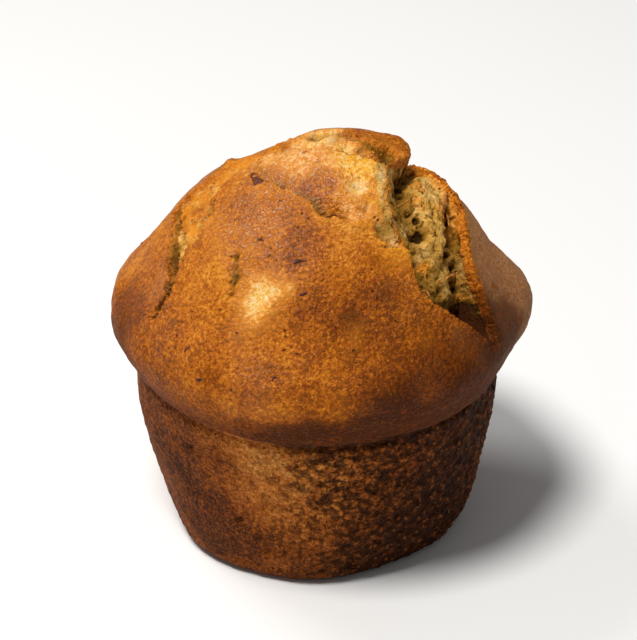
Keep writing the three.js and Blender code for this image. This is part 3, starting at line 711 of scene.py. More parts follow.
def displaced(p0):
    """The body with its crown's relief and its lips' lean: the places, the height and the masks."""
    px, py, fall = plan_of(p0)
    out = outwards(p0)
    k = np.where(fall < 88)[0]
    hc, mc = crown(px[k], py[k], p0[k])
    fade = 1 - smooth(76, 88, fall[k])
    h = np.zeros(len(p0))
    h[k] = hc * fade
    M = {n: np.zeros(len(p0)) for n in mc}
    M["signed"][:] = -50.0
    M["gap_flap"][:] = 50.0
    for n in mc:
        M[n][k] = mc[n] * (1 if n in ("signed", "gap_flap", "x", "y", "width") else fade)
    pos = p0 + out * (uneven(p0) + h)[:, None]

    # Sideways: the torn lips lean over the split they edge, and the crumb is drawn under the right flap.
    def signed_at(x_, y_):
        x_, y_ = torn(x_, y_)
        gap = np.minimum(nearest(SPLIT_LEFT, x_, y_)[0], nearest(SPLIT_RIGHT, x_, y_)[0])
        return np.where(within(SPLIT_OUTLINE, x_, y_), gap, -gap)

    moved = np.where((np.abs(mc["signed"]) < 7) & (fall[k] < 78))[0]
    q = k[moved]
    eps = 0.4
    sx = signed_at(px[q] + eps, py[q]) - signed_at(px[q] - eps, py[q])
    sy = signed_at(px[q], py[q] + eps) - signed_at(px[q], py[q] - eps)
    g = np.stack([sx, sy], -1)
    g /= np.maximum(np.linalg.norm(g, axis=1, keepdims=True), 1e-6)
    away = np.maximum(np.hypot(px[q], py[q]), 1e-6)
    ur = np.stack([px[q], py[q]], -1) / away[:, None]
    f_ = np.radians(fall[q])
    down_slope = np.stack([np.cos(f_) * ur[:, 0], np.cos(f_) * ur[:, 1], -np.sin(f_)], -1)
    sideways = np.stack([-ur[:, 1], ur[:, 0], np.zeros(len(q))], -1)
    to_split = (g * ur).sum(1)[:, None] * down_slope + (g[:, 1] * ur[:, 0] - g[:, 0] * ur[:, 1])[:, None] * sideways
    lean = 0.55 * bell(mc["signed"] - 0.1, 0.8) * np.clip(mc["width"] / 12, 0, 1) * (1 - 0.7 * mc["dome"])
    pos[q] += to_split * (lean + mc["drawn"])[moved][:, None]
    return pos, h, M


def crumb_edge(p):
    """The longest edge wanted on the open crumb's walls, measured after the relief."""
    x, y, fall = plan_of(p)
    want = np.full(len(p), 9.0)
    k = np.where(fall < 80)[0]
    gap = np.minimum(nearest(SPLIT_LEFT, x[k], y[k])[0], nearest(SPLIT_RIGHT, x[k], y[k])[0])
    inside = within(SPLIT_OUTLINE, x[k], y[k])
    near = inside | (gap < 1.5)
    want[k] = np.where(near, np.where(y[k] < 14, CRUMB_STEP, 2 * CRUMB_STEP), 9.0)
    return want


pos, h, M = displaced(p0)
p0, tri = refine(p0, tri, crumb_edge, pos)
pos, h, M = displaced(p0)
px, py, fall = plan_of(p0)
out = outwards(p0)
on_crown = fall < 88

# ---- the surface's finer relief, along its normals ----
normal = vertex_normals(relaxed(pos, tri, 2), tri)
z = p0[:, 2]
azimuth = np.degrees(np.arctan2(p0[:, 0], -p0[:, 1]))
r0 = np.hypot(p0[:, 0], p0[:, 1])
cup = smooth(CUP_TOP_Z + 2.2, CUP_TOP_Z + 0.2, z)
under = (z <= 0.0) & (r0 < BASE_FLAT_R + 0.01)
crust = 1 - M["crumb"]
# torn crumb: smooth lumps, burst bubbles and small holes, measured in the place where they show
soft_crumb = relaxed(M["crumb"], tri, 2)
ci = np.where(soft_crumb > 0.02)[0]
q_ = pos[ci]
bent_q = q_ + 0.55 * np.stack([value_noise(q_ / 1.2, 80 + j) for j in range(3)], -1)
h1, h2, hown = cells(bent_q / 3.0, 13)
bubble = np.where(hown > 0.68, 0.15 + 0.16 * hown, 0.0)
big_holes = np.sqrt(np.maximum(0, bubble**2 - h1**2)) * 3.0 * 0.9
s1, s2, sown = cells(bent_q / 1.45, 14)
small_holes = np.sqrt(np.maximum(0, np.where(sown > 0.45, 0.20 + 0.18 * sown, 0.0) ** 2 - s1**2)) * 1.45 * 1.1
t1, t2, town = cells(q_ / 2.1, 15)
lumps_ = 0.55 * (0.45 - t1) + 0.25 * (town - 0.5)
relief = lumps_ + 0.38 * fbm(bent_q / 1.9, 2, 30) + 0.16 * fbm(q_ / 0.70, 2, 31) - 0.9 * big_holes - 0.65 * small_holes
crumb_relief = np.zeros(len(p0))
crumb_relief[ci] = relief * smooth(0.1, 0.8, soft_crumb[ci]) * np.clip(0.35 + M["width"][ci] / 12, 0.35, 1) * (1 - 0.5 * M["flap"][ci] * smooth(3.4, 1.6, np.abs(M["signed"][ci] - 1.6)) * (M["x"][ci] > 38)) * (1 - 0.6 * smooth(48, 55, M["x"][ci]))
crumb_holes = np.zeros(len(p0))
crumb_holes[ci] = np.clip((big_holes + small_holes) / 0.5, 0, 1) * smooth(0.1, 0.8, soft_crumb[ci])
right_low = smooth(-34, 30, azimuth) * smooth(170, 120, azimuth)
back_low = smooth(120, 160, np.abs(azimuth))
coarse = np.clip(0.12 + 0.85 * right_low + 0.35 * back_low + 0.40 * fbm(p0 / 12.0, 2, 50), 0, 1)
fine = (0.32 * fbm(p0 / 9.0, 2, 41) + 0.20 * fbm(p0 / 3.4, 2, 43) + 0.10 * fbm(p0 / 1.5, 2, 45)) * crust * (1 - cup)
fine += cup * (0.18 * fbm(p0 / 4.5, 2, 47) + (0.08 + 0.20 * coarse) * fbm(p0 / 1.7, 2, 49))
c1, c2, cown = cells(p0 / 3.1, 51)
dimples = smooth(0.20, 0.08, c1) * (cown > 0.80)
fine -= dimples * (0.12 * crust * (1 - cup) + cup * (0.30 + 0.35 * coarse))
w1, w2, wown = cells(p0 / 1.7, 53)
gaps = smooth(0.30, 0.62, w1)
fine -= cup * gaps * (0.05 + 0.34 * coarse)
fine = np.where(under, 0, fine * smooth(0.0, 1.2, z))
for az_, z_, r_, d_ in (
    (-28.0, 14.3, 0.9, 0.9), (-19.0, 7.6, 1.2, 0.8), (-2.0, 19.6, 0.9, 0.7), (38.0, 10.5, 1.3, 0.9), (-45.0, 27.5, 0.8, 0.7),
    (20.0, 9.0, 1.0, 0.9), (27.0, 15.0, 0.9, 0.8), (45.0, 13.0, 1.1, 0.9), (12.0, 5.0, 0.9, 0.8), (-26.0, 5.0, 0.8, 0.6), (62.0, 16.0, 1.2, 0.8), (112.0, 20.0, 1.1, 0.8), (-120.0, 14.0, 1.2, 0.8), (176.0, 9.0, 1.3, 0.8),
    (-160.0, 25.0, 1.0, 0.7), (-78.0, 9.0, 1.1, 0.8), (141.0, 29.0, 0.9, 0.7),
):
    off = np.hypot(np.radians((azimuth - az_ + 540) % 360 - 180) * r0, z - z_)
    fine -= d_ * bell(off * (1 + 0.25 * value_noise(p0 / 0.9, 55)), r_ * 0.6) * cup
pos = pos + normal * (fine + crumb_relief)[:, None]
# the underside's own pits go up into it
base_pits = smooth(0.30, 0.12, cells(p0 / 2.6, 57)[0])
pos[:, 2] = np.where(
    under, (0.28 * base_pits + 0.25 * np.maximum(0, fbm(p0 / 6.0, 2, 59))) * smooth(BASE_FLAT_R, BASE_FLAT_R - 3.0, r0), pos[:, 2]
)
pos[:, 2] = np.maximum(pos[:, 2], 0)
pos[:, 0] -= MIDDLE[0]
pos[:, 1] -= MIDDLE[1]

# ---- what the surface's colours follow ----
around = relaxed(pos, tri, 14)
cavity = ((around - pos) * vertex_normals(around, tri)).sum(1)  # mm below its surroundings
depth_in = np.maximum(0, -h) * M["crumb"]


def patch(cx, cy, r):
    return blob(px + 0.9 * wob1, py + 0.9 * wob2, cx, cy, r) * on_crown


def cup_patch(az_, z_, r_):
    off = np.hypot(np.radians((azimuth - az_ + 540) % 360 - 180) * r0, z - z_) + 1.2 * wob1
    return bell(off, r_ * 0.6) * cup


wob1, wob2 = 2.2 * fbm(p0 / 3.2, 2, 71), 2.2 * fbm(p0 / 3.2, 2, 72)
# browning_and_shade: how brown the crust bakes, with painted shade added under the rim, low on the right and in the
# cup's gaps
browning_and_shade = 0.50 + 0.09 * clouds(p0 / 11.0, 3, 61) + 0.08 * clouds(p0 / 3.4, 2, 63)
# patches darker and lighter over the crown: mostly the crust's own tone, but those far right (x 52 to 68), at the far
# left edge (x -76) and under the front rim (y -95) are painted shade
for cx, cy, r, amount in (
    (-16, -24, 15, 0.02), (-25, -12, 8, 0.06), (-1, -62, 16, 0.10), (18, -58, 14, 0.14), (2, -42, 12, -0.05),
    (-36, -46, 12, -0.10), (40, -58, 16, 0.08), (-24, -70, 12, 0.06), (20, -46, 6, 0.14), (10, -57, 6, 0.14),
    (-9, -42, 4, 0.16), (23, -78, 7, 0.14), (-41, -69, 8, 0.08), (-62, -30, 16, 0.04), (-3, -36, 6, 0.14),
    (68, -34, 12, 0.38), (64, -46, 14, 0.36), (65, -18, 10, 0.14), (67, -40, 9, 0.20), (-8, -35, 7, 0.06), (52, -64, 14, 0.24), (-76, -20, 14, 0.28), (-28.5, 13, 4, 0.3),
    (-60, -52, 12, 0.09), (4, -87, 8, -0.12), (14, -84, 8, 0.00), (36, -78, 12, 0.08), (-60, -4, 12, -0.14), (-28, -8, 8, -0.07), (-34, -80, 7, -0.20),
    (24, -65, 8, 0.02), (-42, -24, 10, 0.02), (-8, -86, 8, -0.10), (24.5, -75, 5, -0.14), (-19, -83, 7, -0.18), (-24, -84, 6, -0.10), (-12, -84, 6, -0.12), (-66, -32, 8, 0.15), (52, -9, 8, -0.20), (-24, -44, 10, 0.02), (3, -80, 8, -0.05),
    (19, -52, 9, 0.05), (3, -45, 9, 0.13), (-58, -51, 9, 0.10), (40, -64, 9, 0.09), (2, -79, 8, 0.00), (-14, -38, 8, 0.06), (-37, -47, 8, 0.12), (-60, -8, 8, 0.10), (-36, -64, 9, 0.10), (24, -72, 16, 0.10), (32, -74, 8, 0.06), (0, -95, 10, 0.48), (2, -85, 6, -0.10), (-20, -88, 12, 0.06), (24, -88, 12, 0.10), (30, -88, 14, 0.18), (-34, -90, 10, 0.17),
    (34, -64, 12, 0.10), (-2, -57, 10, 0.10), (-22, 10, 12, 0.10), (5, 12, 16, 0.06), (20, 9, 8, 0.06), (-4, -21, 7, 0.20), (-11, -12, 8, 0.04), (3, -17, 3.5, 0.14), (20.5, -29.5, 5, 0.16),
):
    browning_and_shade += amount * patch(cx, cy, r)
fold_left = smooth(-8, -28, azimuth) * smooth(-100, -75, azimuth)
fold_right = smooth(8, 24, azimuth) * smooth(115, 90, azimuth)
# darker towards and under the rim and in the crease beneath it, less so on the left: painted shade under the rim's
# overhang
browning_and_shade += 0.12 * smooth(68, 90, fall) + 0.62 * smooth(82, 98, fall) * (1 - cup) * (1 - 0.55 * fold_left)
browning_and_shade += 0.50 * bell(z - CUP_TOP_Z - 0.5, 1.3) * (1 - 0.85 * fold_left)
# darker low on the right: painted shade on the side turned from the key light
browning_and_shade += 0.14 * right_low * smooth(60, 100, fall) * (1 - 0.3 * cup)
# darker in the cup's gaps: painted shade in its recesses
browning_and_shade += 0.08 * cup * gaps * coarse
browning_and_shade -= 0.22 * cup_patch(-8, 24, 20) + 0.06 * cup_patch(-8, 18, 8) + 0.06 * cup_patch(26, 17, 10) - 0.03 * cup_patch(2, 3, 10) + 0.26 * cup_patch(-21, 31, 9) + 0.12 * cup_patch(4, 30, 7)
# the cup darker on its right (around azimuth 40 and 62): painted shade; the other cup patches are its own tone
browning_and_shade += 0.14 * cup_patch(-60, 16, 18) + 0.14 * cup_patch(-30, 6, 12) + 0.07 * cup_patch(-32, 31, 8) + 0.06 * cup_patch(10, 6, 14) + 0.44 * cup_patch(40, 8, 14) + 0.14 * cup_patch(-40, 14, 14) + 0.22 * cup_patch(62, 28, 14) + 0.06 * cup_patch(34, 24, 12) + 0.10 * cup_patch(-48, 26, 12)
browning_and_shade -= 0.12 * M["top"] * (1 - smooth(6, -6, px))
browning_and_shade -= 0.14 * bell(M["gap_flap"], 2.0) * (1 - M["top"]) * smooth(-20, -8, px)
browning_and_shade -= (0.06 + 0.16 * clouds(p0 / 1.8, 2, 69)) * M["band"]
pale = np.zeros(len(p0))
for cx, cy, r, amount in (
    (-19.8, -51.4, 4.2, 0.64), (-23.4, -54.6, 3.4, 0.48), (-17.0, -50.6, 3.4, 0.42), (-13.8, -50.8, 3.4, 0.24),
    (-19.6, -52, 8.0, 0.26), (-20.5, -52, 12, 0.12), (-10.0, -50.0, 3.0, 0.18), (-14, -30, 5, 0.10), (-17, 2.5, 6, 0.25), (-8, -3, 8, 0.15), (10.0, -16.6, 2.8, 0.75), (6.7, -0.4, 2.4, 0.35), (6, -7, 3.0, 0.12), (-6.0, -6.8, 5.0, 0.16),
):
    pale += amount * patch(cx, cy, r)
on_top = M["top"] * smooth(-14, 6, px + 0.6 * py + 10)
pale += on_top * (0.36 + 0.34 * clouds(p0 / 3.0, 2, 65)) + M["lumps"] * (0.22 + 0.4 * fbm(p0 / 3.0, 2, 66))
pale += 0.95 * patch(0.5, 7, 5.5) + 0.20 * patch(-6, 6, 7) + 0.15 * patch(4, 4, 6)
for cx, cy, r, amount in (
    (-4, -20, 8, 0.7), (3.2, -16.5, 4.0, 0.5), (15.5, -18.5, 3.5, 0.5), (17.4, -21, 3.5, 0.4), (4, -27, 4, 0.4), (20.5, -29.5, 5.0, 0.6),
):
    pale -= amount * patch(cx, cy, r) * M["top"]
pale += 0.45 * patch(10.7, -16.5, 3.0) * M["top"]
gold = np.zeros(len(p0))
for cx, cy, r, amount in (
    (8.0, -8.0, 6.5, 0.95), (14.5, -9.0, 4.5, 0.8), (15.5, -18.5, 4.0, 0.9), (5, 0, 5, 0.5), (17.6, -21, 3.2, 0.7), (14, -11, 4, 0.6), (19.5, 3.0, 5, 0.4),
    (-14, 8, 8, 0.5), (-30, 5, 8, 0.5), (-40, 0, 8, 0.5), (-24, 8, 7, 0.5), (-41, -15, 5, 0.6), (-39, -17, 4, 0.6), (-20, -53, 11, 0.45), (20, -40, 8, 0.25), (23, -36.5, 6, 0.3), (12, -63, 4, 0.45), (37, -59, 5, 0.35), (6, -84, 6, 0.1),
):
    gold += amount * patch(cx, cy, r)
gloss = 0.10 + 0.16 * clouds(p0 / 6.0, 2, 67)
for cx, cy, r, amount in (
    (-22, -23, 20, 0.65), (-9, -41, 14, 0.34), (-60, -28, 12, 0.45), (5, -12, 16, 0.55), (-14, 0, 14, 0.4), (-56, -48, 10, 0.3),
    (-24, -52, 10, 0.35), (-26, -74, 12, 0.35), (24, -50, 8, 0.25), (30, -30, 8, 0.2), (-30, 30, 24, 0.35), (10, 40, 26, 0.35),
):
    gloss += amount * patch(cx, cy, r)
gloss *= (1 - cup) * smooth(98, 76, fall) * (1 - 0.8 * smooth(35, 60, azimuth) * smooth(200, 150, azimuth) * smooth(20, 45, fall))
gloss *= 1 - 0.45 * M["crumb"] - 0.35 * M["hollow_shade"]
gloss += 0.20 * M["top"]
gloss = np.clip(gloss, 0, 1)
# the right flap painted darker and greyish: painted shade with a painted sheen
flap_shade_sheen = 0.85 * smooth(42, 47, px) * smooth(32, -8, py + 9.0 * clouds(p0 / 8.0, 3, 74)) * smooth(-62, -30, py) * on_crown * (1 - M["crumb"]) * (1 - bell(M["signed"], 1.5))
gold += 0.35 * bell(M["gap_flap"] - 0.8, 1.3) * (1 - M["top"]) * smooth(-20, -8, px) + (0.08 + 0.40 * clouds(p0 / 2.4, 2, 68)) * M["band"] + 0.25 * np.maximum(0, pale) * (1 - pale)
gold = np.clip(gold, 0, 1) * (1 - M["crumb"])
pale = np.clip(pale, 0, 1)
browning_and_shade = np.clip(browning_and_shade, 0, 1)

# ---------------------------------------------------------------------------------------------
# The mesh
# ---------------------------------------------------------------------------------------------
def make_mesh(name, verts_mm, faces):
    me = bpy.data.meshes.new(name)
    v = (verts_mm / 1000.0).astype(np.float32)
    me.vertices.add(len(v))
    me.vertices.foreach_set("co", v.ravel())
    f = np.asarray(faces, np.int32)
    me.loops.add(len(f) * 3)
    me.loops.foreach_set("vertex_index", f.ravel())
    me.polygons.add(len(f))
    me.polygons.foreach_set("loop_start", np.arange(0, len(f) * 3, 3, dtype=np.int32))
    me.polygons.foreach_set("loop_total", np.full(len(f), 3, np.int32))
    me.polygons.foreach_set("use_smooth", np.ones(len(f), bool))
    me.update(calc_edges=True)
    me.validate()
    return me


def attribute(me, name, values):
    a = me.attributes.new(name, "FLOAT", "POINT")
    a.data.foreach_set("value", np.asarray(values, np.float32))


mesh = make_mesh("muffin_crust", pos, tri)
attribute(mesh, "crumb", np.clip(M["crumb"] + 0.40 * M["band"] * (0.8 + 0.8 * clouds(p0 / 1.6, 2, 73)), 0, 1))
attribute(mesh, "rind", M["rind"])
attribute(mesh, "browning_and_shade", browning_and_shade)
attribute(mesh, "pale", pale)
attribute(mesh, "gold", gold)
attribute(mesh, "cup", cup)
# cavity: drives painted shade in hollows and a painted highlight on ridges; ridges past x 47 get little of the
# highlight
attribute(mesh, "cavity", np.where(M["x"] > 47, np.maximum(cavity, -0.14), cavity))
# deep: the crumb darker with depth, in the pockets, holes and shaded walls of the splits: painted shade
attribute(mesh, "deep", np.clip(np.maximum(depth_in / 8.0, M["hollow_shade"]) + 0.35 * crumb_holes, 0, 1))
attribute(mesh, "gloss", gloss)
attribute(mesh, "flap_shade_sheen", flap_shade_sheen)
attribute(mesh, "burnt", np.clip(M["spot"] * 0.95, 0, 1))
# olive_and_shade: some olive tone of the crumb, and painted shade in the pits, the crest's groove, behind the flap's
# edge, at the dome's edge, between the lumps and in hollows
attribute(mesh, "olive_and_shade", np.clip(M["pits"] + 0.4 * M["rough_top"] + 0.75 * M["groove"] + 0.70 * M["behind"] + 0.55 * M["rounded"] + 0.55 * smooth(0.52, 0.30, fbm(p0 / 2.6, 2, 66) * 0.5 + 0.5) * M["lumps"] + 0.6 * patch(20.5, -29.5, 4.5) * M["top"] + 0.35 * cup_patch(-24, 29, 8) + 0.35 * cup_patch(58, 31, 12), 0, 1))
attribute(mesh, "coarse", coarse * cup)
attribute(mesh, "shade", np.maximum(M["shade"], 0.50 * bell(z - CUP_TOP_Z - 0.3, 1.1) * fold_right))

# a flat map of the surface for textures: crown as a disc, the cup's wall as two strips, the underside
def flat_map(me):
    side = 166.0
    c, length = spline(CROWN_KNOTS)
    f = tri
    az = np.arctan2(p0[:, 0], -p0[:, 1])
    centre = p0[f].mean(1)
    is_cup = centre[:, 2] < CUP_TOP_Z + 0.9 * bell(0, 1)
    is_under = (p0[f][:, :, 2].max(1) <= 1e-6)
    # distance down the crown's outline from the top, by height
    zs, ds = c[::-1, 1], length[-1] - length[::-1]
    down = np.interp(-p0[:, 2], -np.maximum.accumulate(zs[::-1])[::-1], ds)
    top_angle = np.interp(p0[:, 2], [HEIGHT - 1.3, HEIGHT], [1, 0])
    down = np.where(p0[:, 2] > HEIGHT - 1.4, np.minimum(down, r0 * 1.02), down)
    uv = np.zeros((len(f), 3, 2))
    d = down[f]
    a = az[f]
    uv[:, :, 0] = 62.5 + d * np.sin(a)
    uv[:, :, 1] = side - 62.5 - d * np.cos(a)
    # cup: front half (x from -90 to 90 degrees) and back half
    ca = np.arctan2(centre[:, 0], -centre[:, 1])
    front = np.abs(ca) <= math.pi / 2
    af = a.copy()
    back_a = np.where(a < 0, a + 2 * math.pi, a) - math.pi
    zz = p0[f][:, :, 2]
    low = r0[f]
    wall = np.maximum(zz, 0) + 4.5 * np.where(zz < BASE_EDGE_H, (low - BASE_FLAT_R) / (BASE_WALL_R - BASE_FLAT_R), 1) - 2.0
    fu = 53 + af * 32.5
    fv = 1.0 + wall
    bu = 127.0 + wall
    bv = 45.0 + 52 + back_a * 32.5
    sel = is_cup & ~is_under & front
    uv[sel, :, 0], uv[sel, :, 1] = fu[sel], fv[sel]
    sel = is_cup & ~is_under & ~front
    uv[sel, :, 0], uv[sel, :, 1] = bu[sel], bv[sel]
    sel = is_under
    uv[sel, :, 0] = 146.5 + (p0[f][:, :, 0] * 0.66)[sel]
    uv[sel, :, 1] = 19.5 + (p0[f][:, :, 1] * 0.66)[sel]
    layer = me.uv_layers.new(name="OFBake")
    layer.data.foreach_set("uv", (np.clip(uv / side, 0, 1)).astype(np.float32).ravel())


flat_map(mesh)
muffin = bpy.data.objects.new("muffin_crust", mesh)
bpy.context.scene.collection.objects.link(muffin)
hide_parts("muffin")
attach(muffin, "root")

# ---------------------------------------------------------------------------------------------
# Material
# ---------------------------------------------------------------------------------------------
def lin(r, g, b):
    f = lambda c: c / 12.92 if c <= 0.04045 else ((c + 0.055) / 1.055) ** 2.4
    return (f(r / 255), f(g / 255), f(b / 255), 1.0)


class Nodes:
    """Small helpers for building a node tree."""

    def __init__(self, name):
        self.mat = bpy.data.materials.new(name)
        self.mat.use_nodes = True
        self.t = self.mat.node_tree
        self.t.nodes.clear()
        self.out = self.t.nodes.new("ShaderNodeOutputMaterial")

    def new(self, kind, **props):
        n = self.t.nodes.new(kind)
        for k, v in props.items():
            setattr(n, k, v)
        return n

    def put(self, socket, value):
        if isinstance(value, bpy.types.NodeSocket):
            self.t.links.new(value, socket)
        elif value is not None:
            socket.default_value = value

    def attr(self, name):
        n = self.new("ShaderNodeAttribute", attribute_name=name)
        return n.outputs["Fac"]

    def coords(self):
        return self.new("ShaderNodeTexCoord").outputs["Object"]

    def noise(self, vec, scale, detail=2.0, rough=0.5, lacunarity=2.0, distortion=0.0):
        n = self.new("ShaderNodeTexNoise")
        n.noise_dimensions = "3D"
        self.put(n.inputs["Vector"], vec)
        self.put(n.inputs["Scale"], scale)
        self.put(n.inputs["Detail"], detail)
        self.put(n.inputs["Roughness"], rough)
        self.put(n.inputs["Lacunarity"], lacunarity)
        self.put(n.inputs["Distortion"], distortion)
        return n.outputs["Fac"]

    def voronoi(self, vec, scale, feature="F1", output="Distance", randomness=1.0):
        n = self.new("ShaderNodeTexVoronoi", feature=feature)
        self.put(n.inputs["Vector"], vec)
        self.put(n.inputs["Scale"], scale)
        self.put(n.inputs["Randomness"], randomness)
        return n.outputs[output]

    def math(self, op, a, b=None, c=None, clamp=False):
        n = self.new("ShaderNodeMath", operation=op)
        n.use_clamp = clamp
        self.put(n.inputs[0], a)
        if b is not None:
            self.put(n.inputs[1], b)
        if c is not None:
            self.put(n.inputs[2], c)
        return n.outputs[0]

    def range(self, v, a, b, c=0.0, d=1.0, smooth_=True):
        n = self.new("ShaderNodeMapRange")
        n.interpolation_type = "SMOOTHSTEP" if smooth_ else "LINEAR"
        n.clamp = True
        self.put(n.inputs["Value"], v)
        n.inputs["From Min"].default_value = a
        n.inputs["From Max"].default_value = b
        n.inputs["To Min"].default_value = c
        n.inputs["To Max"].default_value = d
        return n.outputs["Result"]

    def mix(self, fac, a, b, blend="MIX"):
        n = self.new("ShaderNodeMix", data_type="RGBA", blend_type=blend)
        n.clamp_factor = True
        self.put(n.inputs[0], fac)
        self.put(n.inputs[6], a)
        self.put(n.inputs[7], b)
        return n.outputs[2]

    def ramp(self, fac, stops, interpolation="LINEAR"):
        n = self.new("ShaderNodeValToRGB")
        n.color_ramp.interpolation = interpolation
        el = n.color_ramp.elements
        el[0].position, el[0].color = stops[0]
        el[1].position, el[1].color = stops[-1]
        for pos_, col in stops[1:-1]:
            e = el.new(pos_)
            e.color = col
        self.put(n.inputs[0], fac)
        return n.outputs[0]

    def bump(self, height, distance, strength=1.0, normal=None):
        n = self.new("ShaderNodeBump")
        self.put(n.inputs["Height"], height)
        n.inputs["Distance"].default_value = distance
        n.inputs["Strength"].default_value = strength
        if normal is not None:
            self.put(n.inputs["Normal"], normal)
        return n.outputs["Normal"]


def muffin_material():
    N = Nodes("baked_crust")
    vec = N.coords()
    crumb, rind, browning_and_shade_, pale_, gold_ = (N.attr(n) for n in ("crumb", "rind", "browning_and_shade", "pale", "gold"))
    cup_, cavity_, depth_shade_, burnt_, olive_and_shade_, coarse_, gloss_, flap_shade_sheen_ = (
        N.attr(n) for n in ("cup", "cavity", "deep", "burnt", "olive_and_shade", "coarse", "gloss", "flap_shade_sheen")
    )
    centred = lambda v, k: N.math("MULTIPLY", N.math("SUBTRACT", v, 0.5), k)
    add = lambda *v: v[0] if len(v) == 1 else N.math("ADD", v[0], add(*v[1:]))
    times = lambda a, b: N.math("MULTIPLY", a, b)

    def bent(scale, amount):
        """The coordinates moved a little by noise, so that cells lose their straight edges."""
        wobble = N.new("ShaderNodeTexNoise")
        N.put(wobble.inputs["Vector"], vec)
        N.put(wobble.inputs["Scale"], scale)
        N.put(wobble.inputs["Detail"], 2.0)
        shift = N.new("ShaderNodeVectorMath", operation="MULTIPLY_ADD")
        N.put(shift.inputs[0], wobble.outputs["Color"])
        shift.inputs[1].default_value = (amount, amount, amount)
        shift.inputs[2].default_value = (-amount / 2, -amount / 2, -amount / 2)
        total = N.new("ShaderNodeVectorMath", operation="ADD")
        N.put(total.inputs[0], vec)
        N.put(total.inputs[1], shift.outputs[0])
        return total.outputs[0]

    n_mid = N.noise(vec, 250, 3, 0.6)  # lumps of about 4 mm
    n_small = N.noise(vec, 1350, 2, 0.55)  # about 0.75 mm
    n_fine = N.noise(vec, 2800, 1, 0.5)  # about 0.35 mm
    ragged = bent(1300, 0.0005)
    grains = N.voronoi(ragged, 1150)  # granules of about 0.9 mm
    grit = N.voronoi(ragged, 2300)  # granules of about 0.45 mm
    gaps = N.noise(bent(900, 0.0006), 620, 2, 0.6)  # ragged gaps of about 1.5 mm
    clumps = N.voronoi(bent(800, 0.0011), 700)  # granules of about 1.4 mm

    # crust, from pale through golden to dark brown
    calm = N.range(add(browning_and_shade_, times(cup_, -0.4)), 0.58, 0.95, 1.0, 0.60)
    # the grains term darkens the crust a little between granules: painted shade
    b = add(browning_and_shade_, times(add(centred(n_mid, 0.34), centred(n_small, 0.80), centred(n_fine, 0.62), times(N.math("SUBTRACT", grains, 0.42), 0.12)), calm))
    crust_c = N.ramp(
        b,
        [
            (0.00, lin(236, 186, 100)),
            (0.20, lin(222, 152, 54)),
            (0.40, lin(202, 120, 26)),
            (0.58, lin(172, 92, 14)),
            (0.76, lin(130, 64, 7)),
            (1.00, lin(74, 32, 3)),
        ],
    )
    gold_c = N.ramp(n_small, [(0.25, lin(208, 116, 12)), (0.5, lin(228, 144, 28)), (0.8, lin(238, 170, 58))])
    crust_c = N.mix(times(N.range(add(gold_, centred(n_small, 1.0), centred(n_fine, 0.6), centred(n_mid, 0.8)), 0.10, 1.05), 0.85), crust_c, gold_c)
    pale_c = N.ramp(
        add(times(n_small, 0.4), times(n_fine, 0.35), times(n_mid, 0.25)),
        [(0.36, lin(220, 154, 44)), (0.47, lin(232, 182, 84)), (0.60, lin(240, 214, 166))],
    )
    pale_sum = add(pale_, times(add(centred(n_mid, 0.5), centred(n_small, 0.5), centred(n_fine, 0.4)), N.range(pale_, 0.04, 0.35)))
    halo_c = N.ramp(n_small, [(0.3, lin(208, 122, 30)), (0.5, lin(226, 148, 54)), (0.7, lin(236, 172, 88))])
    butter_c = N.ramp(n_small, [(0.3, lin(216, 136, 20)), (0.5, lin(238, 174, 40)), (0.7, lin(248, 202, 84))])
    halo_c = N.mix(N.range(add(gold_, centred(n_small, 0.8)), 0.25, 0.9), halo_c, butter_c)
    crust_c = N.mix(N.range(pale_sum, 0.03, 0.42, 0.0, 0.88), crust_c, halo_c)
    crust_c = N.mix(N.range(pale_sum, 0.28, 1.05), crust_c, pale_c)
    # the right flap's greyish, darker brown: painted shade with a painted sheen
    shade_sheen_c = N.ramp(add(times(n_small, 0.5), times(n_fine, 0.5)), [(0.36, lin(124, 82, 50)), (0.50, lin(158, 110, 70)), (0.64, lin(182, 134, 92))])
    shade_sheen_c = N.mix(N.range(add(browning_and_shade_, centred(n_mid, 0.4)), 0.50, 0.95, 0.0, 0.85), shade_sheen_c, lin(82, 46, 24))
    crust_c = N.mix(flap_shade_sheen_, crust_c, shade_sheen_c)
    # the cup's crust: a duller brown
    cup_c = N.ramp(
        b,
        [
            (0.14, lin(222, 154, 78)),
            (0.36, lin(194, 116, 46)),
            (0.56, lin(156, 84, 26)),
            (0.78, lin(108, 53, 12)),
            (1.00, lin(58, 27, 5)),
        ],
    )
    crust_c = N.mix(cup_, crust_c, cup_c)
    # small red-brown freckles
    freckle = N.new("ShaderNodeTexVoronoi", feature="F1")
    N.put(freckle.inputs["Vector"], ragged)
    N.put(freckle.inputs["Scale"], 400)
    which = N.new("ShaderNodeSeparateColor")
    N.put(which.inputs[0], freckle.outputs["Color"])
    freckle_m = times(N.range(add(freckle.outputs["Distance"], centred(n_fine, 0.3)), 0.34, 0.12), N.range(which.outputs[0], 0.55, 0.75))
    crust_c = N.mix(times(freckle_m, 0.60), crust_c, lin(132, 54, 10))

    # open crumb: golden, then painted olive and dark brown with depth, as painted shade in the split's depths
    crumb_c = N.ramp(
        add(times(n_small, 0.35), times(n_mid, 0.40), times(n_fine, 0.25)),
        [(0.34, lin(172, 116, 34)), (0.44, lin(206, 150, 62)), (0.53, lin(228, 178, 92)), (0.64, lin(244, 210, 142))],
    )
    crumb_c = N.mix(N.range(N.math("SUBTRACT", depth_shade_, centred(n_mid, 0.5)), 0.12, 0.60, 0.0, 0.9), crumb_c, lin(132, 92, 18))
    crumb_c = N.mix(N.range(N.math("SUBTRACT", depth_shade_, centred(n_small, 0.3)), 0.50, 1.00, 0.0, 0.96), crumb_c, lin(44, 24, 3))
